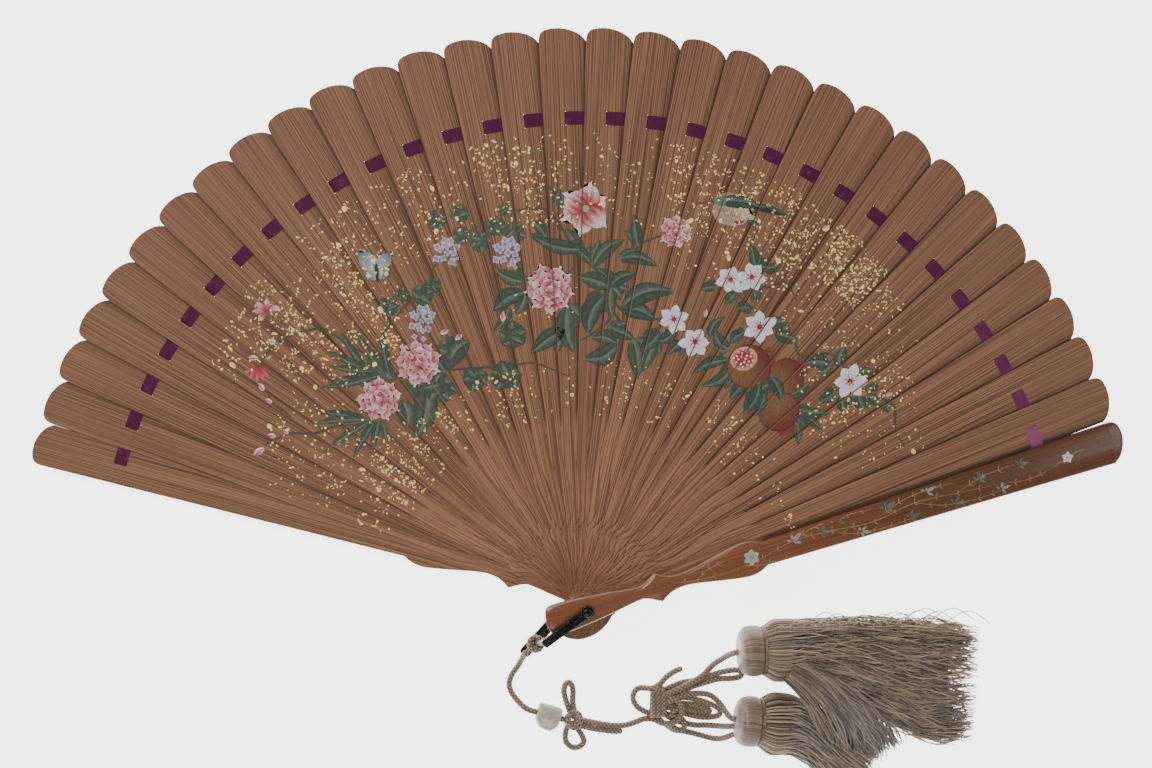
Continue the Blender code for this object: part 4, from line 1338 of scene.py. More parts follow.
def clip(corners, normal, limit):
    """Part of a polygon where the dot product with the normal is at least the limit."""
    out = []
    count = len(corners)
    reach = [corner[0] * normal[0] + corner[1] * normal[1] - limit for corner in corners]
    for i in range(count):
        j = (i + 1) % count
        if reach[i] >= 0:
            out.append(corners[i])
        if (reach[i] >= 0) != (reach[j] >= 0):
            share = reach[i] / (reach[i] - reach[j])
            out.append(tuple(a + (b - a) * share for a, b in zip(corners[i], corners[j])))
    return out


def edge_line(index):
    """(normal, limit) of a leaf's left edge in the fan's plane, in millimetres, normal to its left."""
    near, far, _ = GUARD_SHAPE if index in (0, BLADES + 1) else BLADE_SHAPE
    heading = leaf_angle(index)
    lean = math.atan2(far - near, TIP_AT - STEP_AT)
    normal = (-math.sin(heading + lean), math.cos(heading + lean))
    cosine, sine = math.cos(heading), math.sin(heading)
    spot = (STEP_AT * cosine - near * sine, STEP_AT * sine + near * cosine)
    return normal, normal[0] * spot[0] + normal[1] * spot[1]


def patch_mesh(name, pieces, floor, first_coat, bend=None):
    """A mesh of coloured patches lying on a height, or on the height that bend gives."""
    bm = bmesh.new()
    paint = bm.verts.layers.float_color.new("paint")
    for level, corners in pieces:
        spots = []
        for corner in corners:
            height = floor if bend is None else bend(corner[0], corner[1])
            spot = bm.verts.new((corner[0] * MM, corner[1] * MM, height + first_coat * (1.0 + level * 0.75)))
            spot[paint] = (*corner[2:5], 1.0)
            spots.append(spot)
        bm.faces.new(spots)
    bmesh.ops.remove_doubles(bm, verts=bm.verts, dist=0.000004)
    bm.normal_update()
    for face in bm.faces:
        if face.normal.z < 0:
            face.normal_flip()
    mesh = bpy.data.meshes.new(name)
    bm.to_mesh(mesh)
    bm.free()
    return mesh


def build_painting(sizes):
    """Paint each blade with its share of the garden: only what shows while the fan is open."""
    art = flower_garden()
    spans = []
    for level, corners in art.pieces:
        angles = [math.atan2(corner[1], corner[0]) for corner in corners]
        spans.append((min(angles), max(angles)))
    for index in range(1, BLADES + 1):
        own, own_limit = edge_line(index)
        after, after_limit = edge_line(index + 1)
        low, high = leaf_angle(index + 1) - 0.12, leaf_angle(index) + 0.16
        pieces = []
        for (level, corners), (start, end) in zip(art.pieces, spans):
            if end < low or start > high:
                continue
            part = clip(corners, (-own[0], -own[1]), 0.25 - own_limit)
            if len(part) > 2:
                part = clip(part, after, after_limit + 0.1)
            if len(part) > 2:
                pieces.append((level, part))
        if not pieces:
            continue
        name = leaf_name(index)
        mesh = patch_mesh(f"{name}_painting", pieces, leaf_levels(index)[1], sizes.paint_lift)
        piece = keep_object(f"{name}_painting", mesh, finish_of("paint"))
        hand_over(piece, name, "plain_wood")


# ---------------------------------------------------------------- gold flecks


def fleck_tree(finish):
    """Nodes that scatter crumpled flecks of gold leaf over a strip of wood, in drifts."""
    grow = Growth("Scatter gold flecks", {"Density": "Float", "Size": "Float", "Seed": "Int"})
    given = grow.given
    vectors = {"data_type": "FLOAT_VECTOR"}
    drift = grow.add("ShaderNodeTexNoise", 0, {"Scale": 75.0, "Detail": 2.0})
    heap = grow.add("ShaderNodeMapRange", "Result", {
        "Value": drift, "From Min": 0.47, "From Max": 0.66, "To Min": 0.05, "To Max": 1.35,
    })
    many = grow.add("ShaderNodeMath", 0, {0: heap, 1: given["Density"]}, {"operation": "MULTIPLY"})
    spots = grow.add("GeometryNodeDistributePointsOnFaces", "Points", {
        "Mesh": given["Geometry"], "Density": many, "Seed": given["Seed"],
    })
    filled = {"fill_type": "NGON"}
    fleck = grow.add("GeometryNodeMeshCircle", 0, {"Vertices": 7, "Radius": given["Size"]}, filled)
    ragged = grow.add("FunctionNodeRandomValue", 0, {
        "Min": (-0.42, -0.42, 0.0), "Max": (0.42, 0.42, 0.0),
    }, vectors)
    tear = grow.add("ShaderNodeVectorMath", 0, {0: ragged, "Scale": given["Size"]}, {"operation": "SCALE"})
    torn = grow.add("GeometryNodeSetPosition", 0, {"Geometry": fleck, "Offset": tear})
    spin = grow.add("FunctionNodeRandomValue", 0, {"Max": (0.0, 0.0, math.tau)}, vectors)
    spread = grow.add("FunctionNodeRandomValue", 0, {
        "Min": (0.3, 0.22, 1.0), "Max": (1.7, 1.15, 1.0),
    }, vectors)
    laid = grow.add("GeometryNodeInstanceOnPoints", 0, {
        "Points": spots, "Instance": torn, "Rotation": spin, "Scale": spread,
    })
    return grow.close(laid, finish)


# Drifts of gold in the open fan: (place from the rear guard's side as a share of the spread, radius,
# half-width as a share, half-depth, how thickly it lies), with radius and half-depth in millimetres.
DRIFTS = (
    (0.46, 173.0, 0.36, 18.0, 1.0), (0.5, 90.0, 0.47, 12.0, 0.75), (0.24, 152.0, 0.08, 25.0, 0.9),
    (0.1, 118.0, 0.09, 30.0, 0.5), (0.76, 158.0, 0.1, 22.0, 0.5), (0.14, 92.0, 0.12, 14.0, 1.0),
    (0.87, 138.0, 0.08, 24.0, 0.5), (0.45, 128.0, 0.06, 10.0, 0.15), (0.64, 150.0, 0.05, 10.0, 0.3),
)


def build_flecks(sizes):
    """Gold flecks on the part of each blade that shows while the fan is open."""
    tree, places = fleck_tree(finish_of("gold_leaf"))
    for index in range(1, BLADES + 1):
        own, own_limit = edge_line(index)
        after, after_limit = edge_line(index + 1)
        share = index / (BLADES + 1)
        strips = []
        for middle, radius, wide, deep, thick in DRIFTS:
            near = 1.0 - ((share - middle) / wide) ** 2
            if near <= 0:
                continue
            reach = deep * near**0.4
            start, end = leaf_angle(index + 1) - 0.02, leaf_angle(index) + 0.05
            sweep = (start, (start + end) / 2, end)
            ring = [polar(radius - reach, a) for a in sweep] + [polar(radius + reach, a) for a in sweep[::-1]]
            part = clip(ring, (-own[0], -own[1]), 0.9 - own_limit)
            if len(part) > 2:
                part = clip(part, after, after_limit + 0.8)
            if len(part) > 2:
                strips.append((part, thick))
        if not strips:
            continue
        name = leaf_name(index)
        made = []
        for number, (part, thick) in enumerate(strips):
            height = leaf_levels(index)[1] + sizes.paint_lift * (5.3 + 0.2 * number)
            points = [(x * MM, y * MM, height) for x, y in part]
            ground = mesh_of("gold_ground", points, [tuple(range(len(points)))], outward=False)
            source = keep_object("gold_ground", ground)
            large = source.copy()
            bpy.context.scene.collection.objects.link(large)
            for ground, density, size in ((source, 1.0, 1.0), (large, 0.035, 2.2)):
                scatter = ground.modifiers.new("scatter", "NODES")
                scatter.node_group = tree
                scatter[places["Density"]] = sizes.fleck_density * thick * density
                scatter[places["Size"]] = sizes.fleck_size * size
                scatter[places["Seed"]] = index * 17 + number + int(size * 100)
                made.append(settle(ground, "gold_part"))
        bm = bmesh.new()
        for part in made:
            bm.from_mesh(part.data)
            bpy.data.objects.remove(part, do_unlink=True)
        bm.normal_update()
        for face in bm.faces:
            if face.normal.z < 0:
                face.normal_flip()
        mesh = bpy.data.meshes.new(f"{name}_gold")
        bm.to_mesh(mesh)
        bm.free()
        if not mesh.polygons:
            continue
        hand_over(keep_object(f"{name}_gold", mesh, finish_of("gold_leaf")), name, "plain_wood")


# ---------------------------------------------------------------- guard inlay


GOLD = tint(158, 126, 76)
SHELL_GREEN = tint(30, 62, 46)
PEARL = tint(168, 170, 166)


def inlay_design():
    """Gold sprays and shell leaves along the front guard: u runs outward and v to the left, in mm."""
    gold, shell = Painting(), Painting()
    stems = [
        [(60, -2.4), (74, -1.0), (88, 2.0), (104, 1.2), (122, -0.6), (140, 1.8), (158, 0.2), (176, -1.6)],
        [(66, -1.6), (76, -4.2), (90, -4.6)], [(88, 2.0), (98, 4.6), (112, 5.2), (124, 4.6)],
        [(104, 1.2), (114, -3.2), (128, -4.6), (140, -4.0)],
        [(122, -0.6), (134, 3.8), (146, 5.2), (158, 4.8)],
        [(140, 1.8), (152, -3.0), (166, -4.8), (178, -4.2)], [(158, 0.2), (170, 3.6), (184, 4.4)],
        [(176, -1.6), (188, -3.4), (198, -2.2)], [(36, 0.6), (46, -1.4), (60, -2.4)],
        [(46, -1.4), (52, 1.6), (60, 2.6)],
    ]
    for route in stems:
        line = smooth(route, 4)
        gold.stroke(route, 0.3, GOLD, 1)
        for i in range(2, len(line) - 1, 2):
            way = line[i] - line[i - 1]
            heading = math.atan2(way[1], way[0])
            for side in (0.9, -0.9):
                a = heading + side + gold.rng.uniform(-0.2, 0.2)
                tip = polar(gold.rng.uniform(1.3, 2.4), a, line[i])
                gold.stroke([tuple(line[i]), between(tuple(line[i]), tip, 0.6), tip], 0.34, GOLD)
    leaves = [
        (88, 1.8, 0.5, 8.0, 4.0), (100, 2.2, -0.3, 7.0, 3.6), (108, 4.6, 0.2, 7.5, 3.4),
        (116, -3.0, -0.4, 7.0, 3.6),
        (128, 3.0, 0.35, 8.0, 3.8), (137, -3.6, 0.1, 8.0, 3.4), (146, 4.6, 0.2, 7.0, 3.2),
        (156, -3.6, -0.2, 8.0, 3.4),
        (168, 3.0, 0.3, 7.5, 3.2), (176, -4.0, 0.1, 7.0, 3.0), (186, 3.8, -0.1, 6.0, 2.8),
        (76, -3.8, 0.1, 6.0, 2.6),
    ]
    for number, (u, v, heading, long, wide_at) in enumerate(leaves):
        length, width = long * 0.6, wide_at * 0.46
        tones = (SHELL_GREEN, tint(64, 104, 84)) if number % 3 else (PEARL, tint(96, 112, 116))
        for turn, grow in ((0.0, 1.0), (0.95, 0.7), (-0.95, 0.7), (2.2, 0.5)):
            way = (math.cos(heading + turn), math.sin(heading + turn))
            for half in (1, -1):
                rows, colours = [], []
                for step in range(6):
                    share = step / 5
                    wide = grow * width / 2 * math.sin(math.pi * share**0.7) * 0.8
                    out = 0.5 + length * grow * share
                    spot = (u + way[0] * out, v + way[1] * out)
                    side = (-way[1] * half, way[0] * half)
                    reaches = (0.07, 0.07 + wide * 0.55, 0.07 + wide)
                    rows.append([(spot[0] + side[0] * reach, spot[1] + side[1] * reach) for reach in reaches])
                    colours.append([tones[half > 0], between(tones[0], tones[1], 0.5), tones[half < 0]])
                shell.grid(rows, colours, 1.2)
    for number in range(6):
        a = math.tau * number / 6 + 0.3
        shell.petal((70.0, 0.6), a, 0.4, 3.6, 2.4, tint(150, 150, 140), PEARL, 1.6 + (number % 2) * 0.3,
                    0.0, 0.0, 0.45)
    gold.dot((70.0, 0.6), 0.8, GOLD, 3.2)
    for number in range(5):
        a = math.tau * number / 5
        shell.petal((206.0, 0.4), a, 0.3, 2.6, 1.8, tint(190, 184, 170), PEARL, 1.6, 0.0, 0.0, 0.3)
    gold.dot((206.0, 0.4), 0.5, GOLD, 3.2)
    gold.stroke([(198, -2.0), (203, -0.6), (206, 0.4)], 0.36, GOLD)
    gold.stroke([(206, 0.4), (211, 1.6), (215, 1.2)], 0.36, GOLD)
    return gold, shell


def build_inlay(sizes):
    """Lay the gold sprays and the shell on the front guard's crown."""
    index = BLADES + 1
    low, high = leaf_levels(index)
    full, edge = (high - low) / MM, sizes.guard_edge / MM

    def crown(u, v):
        left, right = guard_sides(u)
        return low + guard_rise(u, v, left, right, edge, full) * MM

    for name, art, finish in zip(("guard_gold", "guard_shell"), inlay_design(), ("paint", "shell")):
        kept = []
        for level, corners in art.pieces:
            if all(-guard_sides(u)[1] + 0.5 < v < guard_sides(u)[0] - 0.5 for u, v, *_ in corners):
                kept.append((level, corners))
        mesh = patch_mesh(name, kept, 0.0, sizes.inlay_lift, crown)
        mesh.transform(Matrix.Rotation(leaf_angle(index), 4, "Z"))
        mesh.shade_smooth()
        hand_over(keep_object(name, mesh, finish_of(finish)), "front_guard", "lacquered_wood")


# ---------------------------------------------------------------- ribbon


def build_ribbon(sizes):
    """One silk ribbon, a strip to each leaf: up through its slit, over it and under the next."""
    half = RIBBON_WIDTH / 2
    loose = random.Random(11)
    turns = 14
    for index in range(BLADES + 1):
        lift = sizes.ribbon_lift + RIBBON_THICKNESS / 2
        low, high = leaf_levels(index)
        next_low, _ = leaf_levels(index + 1)
        start, end = leaf_angle(index), leaf_angle(index + 1)
        over = high + lift
        under = next_low - RIBBON_THICKNESS / 2 - 0.02 * MM
        wander = loose.uniform(-0.2, 0.2) * MM
        stations = []
        if index:
            stations.append((start + 0.0009, low + 0.05 * MM))
            stations.append((start, (low + high) / 2))
        for step in range(turns + 1):
            share = step / turns
            angle = start + (end - start) * (0.02 + 0.96 * share)
            puff = math.sin(math.pi * min(1.0, share * 1.6)) * 0.03 * MM if index else 0.0
            stations.append((angle, over + puff + (min(over, under) - over) * share**3))
        rows = []
        run = 0.0
        runs = []
        for row, (angle, height) in enumerate(stations):
            if row:
                before = stations[row - 1]
                run += math.hypot((angle - before[0]) * RIBBON_RADIUS, height - before[1])
            runs.append(run)
            ring = []
            for side in (-1, -0.5, 0, 0.5, 1):
                reach = RIBBON_RADIUS + side * half + wander * max(0, row - 2) / len(stations)
                crease = 0.015 * MM * (1 - abs(side)) if index else 0.0
                ring.append((reach * math.cos(angle), reach * math.sin(angle), height + crease))
            rows.append(ring)
        points = [point for ring in rows for point in ring]
        faces = []
        for row in range(len(rows) - 1):
            for i in range(4):
                a = row * 5 + i
                faces.append((a, a + 1, a + 6, a + 5))
        mesh = mesh_of(f"ribbon_{index:02d}", points, faces, outward=False)
        chart = mesh.uv_layers.new(name="weave")
        for face in mesh.polygons:
            for corner in face.loop_indices:
                spot = mesh.loops[corner].vertex_index
                chart.data[corner].uv = (runs[spot // 5], (spot % 5 - 2) / 4 * RIBBON_WIDTH)
        faded = 0.85 if index == BLADES else max(0.0, (index - 24) * 0.05)
        point_values(mesh, "faded", [faded] * len(points))
        source = keep_object(f"ribbon_{index:02d}", mesh, finish_of("ribbon"))
        wall = source.modifiers.new("thickness", "SOLIDIFY")
        wall.thickness = RIBBON_THICKNESS
        wall.offset = 0.0
        strip = settle(source, f"ribbon_strip_{index:02d}")
        soften(strip.data, 50.0)
        middle = (start + end) / 2
        body = leaf_name(index)
        hand_over(strip, body, "ribbon_silk", "ribbon")
        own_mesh(strip)


# ---------------------------------------------------------------- rivet and bail


def turned(name, profile, sides, finish, edge_finish=None):
    """A turned solid from (radius, height) pairs, top to bottom, on the Z axis."""
    rings = []
    for radius, height in profile:
        rings.append([(*polar(max(radius, 0.00001), a), height) for a in turns(sides)])
    points, faces = skin(rings)
    mesh = mesh_of(name, points, faces, merge=0.00002)
    soften(mesh, 35.0)
    return keep_object(name, mesh, finish_of(finish), *([finish_of(edge_finish)] if edge_finish else []))


def rounded(radius, low, high, fillet, steps=4):
    """Profile of a disc with rounded rims, top to bottom."""
    top = [(radius - fillet + fillet * math.sin(a), high - fillet + fillet * math.cos(a))
           for a in np.linspace(0, math.pi / 2, steps)]
    foot = [(radius - fillet + fillet * math.cos(a), low + fillet - fillet * math.sin(a))
            for a in np.linspace(0, math.pi / 2, steps)]
    return [(0.0, high), *top, *foot, (0.0, low)]


def build_rivet(sizes):
    """Domed front head, shank and flat rear head with a turned rim."""
    low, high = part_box("rivet")
    floor, top = low[2], high[2]
    _, arm_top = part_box("bail_front_arm")
    seat = arm_top[2] + 0.22 * MM
    head = 2.05 * MM
    dome = [(head * math.sin(a), seat + (top - seat) * math.cos(a)) for a in np.linspace(0.0, math.pi / 2, 9)]
    rear_top = floor + 1.0 * MM
    shank, rim = 1.3 * MM, 3.2 * MM
    rear = [
        (shank, rear_top), (3.0 * MM, rear_top), (rim, rear_top - 0.2 * MM), (rim, floor + 0.25 * MM),
        (2.95 * MM, floor), (2.4 * MM, floor), (2.3 * MM, floor + 0.08 * MM), (0.0, floor + 0.08 * MM),
    ]
    profile = [*dome, (shank, seat), *rear]
    piece = turned("rivet_metal", profile, 48, "metal")
    hand_over(piece, "rear_guard", "dark_metal", "rivet")


def strap_loop(reach, width, corner, eye):
    """Outline of a strap: round the eye, then along to two rounded corners."""
    half = width / 2
    root = math.asin(min(0.98, half / eye))
    ring = [(eye * math.cos(a), eye * math.sin(a)) for a in np.linspace(root, math.tau - root, 33)]
    low = [(reach - corner + corner * math.sin(a), -half + corner - corner * math.cos(a))
           for a in np.linspace(0, math.pi / 2, 7)]
    high = [(reach - corner + corner * math.cos(a), half - corner + corner * math.sin(a))
            for a in np.linspace(0, math.pi / 2, 7)]
    return [*ring, *low, *high]


def strap(name, node, reach, width, corner, at, dimples=()):
    """A flat strap from the rivet's eye, with rubbed rounded edges and drilled dimples."""
    low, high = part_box(node)
    eye = 2.6 * MM
    hole = [polar(PIVOT_HOLE, a) for a in turns(28)]
    blank = flat_blank(name, [strap_loop(reach, width, corner, eye), hole], high[2] - low[2])
    blank.data.materials.append(finish_of("metal"))
    blank.data.materials.append(finish_of("metal_edge"))
    drills = []
    for reach_at, radius in dimples:
        bm = bmesh.new()
        place = Matrix.Translation((reach_at, 0.0, high[2] - low[2] + 0.00015))
        bmesh.ops.create_uvsphere(bm, u_segments=20, v_segments=12, radius=radius, matrix=place)
        ball = bpy.data.meshes.new("dimple")
        bm.to_mesh(ball)
        bm.free()
        drill = keep_object("dimple", ball)
        cut = blank.modifiers.new("dimple", "BOOLEAN")
        cut.operation = "DIFFERENCE"
        cut.solver = "EXACT"
        cut.object = drill
        drills.append(drill)
    edge = blank.modifiers.new("edge", "BEVEL")
    edge.width = 0.55 * MM
    edge.segments = 4
    edge.limit_method = "ANGLE"
    edge.angle_limit = math.radians(60)
    edge.material = 1
    piece = settle(blank, name)
    for drill in drills:
        bpy.data.objects.remove(drill, do_unlink=True)
    turn = Matrix.Translation((0.0, 0.0, low[2])) @ Matrix.Rotation(math.atan2(at[1], at[0]), 4, "Z")
    piece.data.transform(turn)
    soften(piece.data, 30.0)
    return piece


def build_bail(sizes):
    """Front strap, rear strap, the leaning pin between them and the small end rivet."""
    top_at, foot_at = (-16.4 * MM, -12.2 * MM), (-20.5 * MM, -22.9 * MM)
    reach = math.hypot(*top_at) + 1.6 * MM
    front = strap("bail_front_strap", "bail_front_arm", reach, 3.6 * MM, 1.2 * MM, top_at)
    hand_over(front, "bail", "dark_metal", "bail_front_arm")
    rear = strap(
        "bail_rear_strap", "bail_rear_arm", 37.0 * MM, 4.6 * MM, 1.4 * MM, foot_at,
        dimples=((29.4 * MM, 0.9 * MM),),
    )
    hand_over(rear, "bail", "dark_metal", "bail_rear_arm")

    low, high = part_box("bail_pin")
    floor, top = low[2] / MM, high[2] / MM
    length = top - floor
    profile = [
        (0.0, 0.0), (0.0, 1.75), (0.15, 1.95), (0.9, 2.0), (1.0, 1.7), (1.15, 1.45), (1.35, 1.45), (1.5, 1.7),
        (2.05, 1.7), (2.2, 1.45), (2.3, 1.1), (length - 3.0, 1.1), (length - 2.9, 1.45), (length - 2.75, 1.6),
        (length - 2.2, 1.6), (length - 2.05, 1.3), (length - 1.85, 1.3), (length - 1.7, 1.7),
        (length - 1.5, 2.0),
        (length - 0.15, 2.0), (length, 1.8), (length, 0.0),
    ]
    rings = []
    foot, head = Vector((*foot_at, low[2])), Vector((*top_at, high[2]))
    for rise, radius in profile:
        middle = foot.lerp(head, rise / length)
        reach = max(radius, 0.01) * MM
        rings.append([middle + Vector((math.cos(a), math.sin(a), 0)) * reach for a in turns(32)])
    points, faces = skin(rings)
    mesh = mesh_of("bail_pin_metal", points, faces, merge=0.00002)
    soften(mesh, 40.0)
    pin = keep_object("bail_pin_metal", mesh, finish_of("metal"), finish_of("metal_edge"))
    for face in mesh.polygons:
        spot = face.center[2] / MM - floor
        if spot < 2.3 or spot > length - 2.9:
            face.material_index = 1 if 0.9 < spot < 2.2 or length - 2.9 < spot < length - 1.4 else 0
    hand_over(pin, "bail", "dark_metal", "bail_pin")

    low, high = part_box("bail_end_rivet")
    middle = (np.array(low) + np.array(high)) / 2
    stud = turned("bail_end_stud", rounded(0.9 * MM, low[2], high[2], 0.24 * MM), 28, "metal_edge")
    stud.data.transform(Matrix.Translation((middle[0], middle[1], 0.0)))
    hand_over(stud, "bail", "dark_metal", "bail_end_rivet")


# ---------------------------------------------------------------- cord


# Each strand of cord runs through these points, in millimetres.
LEAD = [
    (-23.4, -24.4, 7.4), (-24.9, -28.2, 4.0), (-26.8, -32.6, 1.6), (-29.4, -36.6, 1.15),
    (-30.6, -40.8, 1.15), (-29.4, -44.8, 1.5), (-26.6, -48.2, 2.9), (-23.2, -50.9, 4.3),
    (-19.0, -52.42, 4.6), (-14.0, -54.0, 4.6), (-7.9, -55.9, 4.4), (-4.4, -56.9, 3.4),
]
BOW = [
    (-1.4, -57.4, 1.2), (-4.2, -54.4, 1.2), (-6.0, -49.6, 1.15), (-7.1, -44.8, 1.15), (-6.4, -41.5, 1.15),
    (-4.3, -41.1, 1.15), (-3.2, -44.4, 1.15), (-3.3, -49.2, 1.2), (-2.6, -54.0, 1.9), (-1.9, -57.4, 2.6),
    (-1.5, -60.8, 1.6), (0.6, -64.6, 1.15), (1.6, -67.6, 1.15), (-0.6, -69.8, 1.15), (-3.8, -69.8, 1.15),
    (-6.3, -67.0, 1.15), (-6.3, -62.8, 1.2), (-4.8, -59.4, 1.8), (-2.6, -58.6, 3.4), (0.4, -60.0, 2.2),
    (5.6, -61.8, 1.15), (10.0, -62.6, 1.15), (14.4, -63.3, 1.15), (18.4, -63.2, 1.15),
]
BOW_WRAP = [
    (-5.6, -54.8, 1.6), (-5.9, -57.0, 3.2), (-4.6, -59.2, 4.2), (-2.2, -59.8, 4.3), (-0.4, -58.4, 3.4),
    (-0.2, -56.2, 2.0), (-1.4, -54.4, 2.0), (-3.6, -53.6, 3.2), (-5.2, -55.0, 4.4), (-5.2, -57.2, 4.9),
    (-3.6, -58.6, 5.0), (-1.8, -57.6, 4.6), (-1.6, -55.6, 3.6), (-3.2, -54.6, 2.6),
]
MIDDLE = [
    (-3.0, -57.0, 3.0), (0.6, -57.8, 1.6), (5.0, -58.9, 1.3), (10.0, -60.0, 1.15), (15.0, -60.8, 1.15),
    (20.0, -60.6, 1.15), (24.3, -59.3, 1.3), (27.6, -57.9, 1.8), (31.6, -58.2, 1.9), (36.2, -59.8, 3.0),
    (40.6, -58.6, 4.6), (43.4, -54.8, 5.2), (43.0, -50.4, 5.4), (39.4, -47.8, 5.2), (36.2, -49.0, 3.6),
]
LOOP_AND_TAIL = [
    (31.8, -56.2, 2.4), (27.3, -54.2, 1.8), (24.4, -52.2, 1.4), (22.8, -49.0, 1.3), (23.3, -45.9, 1.3),
    (25.2, -44.1, 1.5), (27.8, -43.9, 2.0), (31.0, -43.6, 3.4), (34.2, -41.8, 3.0), (37.0, -39.2, 2.2),
    (40.4, -37.2, 1.4), (44.2, -35.6, 1.15),
]
UPPER_FOLD = [
    (33.4, -46.6, 2.0), (38.4, -44.2, 1.6), (44.0, -42.2, 1.3), (49.6, -41.4, 1.15), (55.4, -39.6, 1.15),
    (61.4, -37.9, 1.15), (67.4, -37.15, 1.15), (70.1, -38.2, 1.15), (69.2, -40.2, 1.15), (65.6, -40.9, 1.15),
    (60.0, -41.0, 1.15), (54.4, -42.4, 1.2), (48.6, -43.9, 1.8), (43.6, -45.4, 3.0), (38.6, -48.0, 3.4),
]
LOWER_FOLD = [
    (34.6, -49.8, 2.2), (40.0, -48.8, 1.8), (46.0, -48.9, 1.4), (52.0, -50.4, 1.15), (57.4, -52.6, 1.15),
    (60.6, -54.9, 1.15), (60.4, -57.2, 1.15), (57.0, -58.1, 1.15), (52.0, -57.9, 1.15), (47.0, -56.6, 1.5),
    (41.6, -54.0, 2.6), (36.6, -52.2, 2.8),
]
INNER_FOLD = [
    (36.8, -51.4, 3.6), (42.4, -51.2, 2.6), (47.6, -51.9, 1.6), (52.4, -53.2, 1.15), (56.4, -55.2, 1.2),
    (53.2, -55.7, 1.2), (48.6, -54.4, 1.9), (43.2, -52.6, 4.0), (38.6, -54.8, 4.2),
]
LOW_BIGHT = [
    (30.2, -52.6, 2.6), (33.0, -57.0, 1.6), (36.8, -60.6, 1.15), (41.4, -63.6, 1.3), (44.6, -62.6, 2.4),
    (44.8, -59.0, 3.4),
    (41.6, -56.4, 3.4), (37.4, -55.8, 2.4), (35.0, -54.4, 1.6),
]
UPPER_LEG = [
    (36.6, -46.4, 4.6), (42.0, -43.9, 4.6), (48.0, -41.4, 3.5), (52.6, -38.9, 2.6), (55.6, -36.2, 1.8),
    (57.6, -34.0, 2.2), (60.4, -31.0, 4.6), (62.6, -28.0, 8.2), (64.6, -26.0, 11.2), (67.2, -25.0, 12.6),
]
LOWER_LEGS = [
    [(36.4, -50.2, 4.8), (42.0, -47.4, 4.6), (48.6, -46.6, 3.0), (55.0, -47.6, 1.7), (58.6, -49.6, 2.2),
     (61.0, -52.0, 4.4), (62.4, -53.8, 8.0), (63.7, -54.8, 11.0), (66.4, -55.4, 12.6)],
    [(37.0, -56.6, 2.0), (42.6, -59.6, 1.5), (49.4, -61.4, 1.4), (54.6, -61.6, 1.6), (59.6, -61.4, 3.4),
     (62.0, -60.4, 6.6), (63.8, -59.2, 9.6), (66.6, -58.4, 11.0)],
    [(36.0, -59.0, 3.4), (42.0, -62.8, 2.6), (48.6, -65.0, 1.3), (53.0, -66.4, 1.15), (58.0, -67.8, 1.4),
     (61.4, -67.2, 3.2), (63.8, -65.2, 6.0), (66.8, -62.8, 8.4)],
]
WRAP_TURNS = 2.7


def wrap_route():
    """Turns of cord side by side round the left end of the big knot."""
    out = []
    for step in range(int(WRAP_TURNS * 16) + 1):
        a = math.tau * step / 16 + 0.6
        x = 30.3 + 2.25 * (a - 0.6) / math.tau
        y = -49.6 + 6.1 * math.copysign(abs(math.cos(a)) ** 0.8, math.cos(a))
        z = 3.1 + 1.95 * math.copysign(abs(math.sin(a)) ** 0.8, math.sin(a))
        out.append((x + 0.5 * math.sin(a), y, z))
    return out


def ring_route():
    """The turn of cord round the leaning pin, a little open like a knotted loop."""
    low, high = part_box("cord_ring")
    middle = (np.array(low) + np.array(high)) / 2 / MM
    lean = Vector((4.1, 10.7, 28.6)).normalized()
    across = lean.orthogonal().normalized()
    other = lean.cross(across)
    out = []
    for step in range(25):
        a = math.tau * 1.12 * step / 24
        reach = 2.52
        rise = 2.0 * (step / 24 - 0.5)
        spot = Vector(middle) + (across * math.cos(a) + other * math.sin(a)) * reach + lean * rise
        out.append(tuple(spot))
    return out


def side_frames(line):
    """For each point of a line, two directions square to it that turn as little as they can."""
    ahead = np.gradient(line, axis=0)
    ahead /= np.linalg.norm(ahead, axis=1)[:, None]
    side = Vector(ahead[0]).orthogonal().normalized()
    sides = []
    for direction in ahead:
        way = Vector(direction)
        side = (side - way * side.dot(way)).normalized()
        sides.append(side.copy())
    first = np.array(sides)
    return first, np.cross(ahead, first)


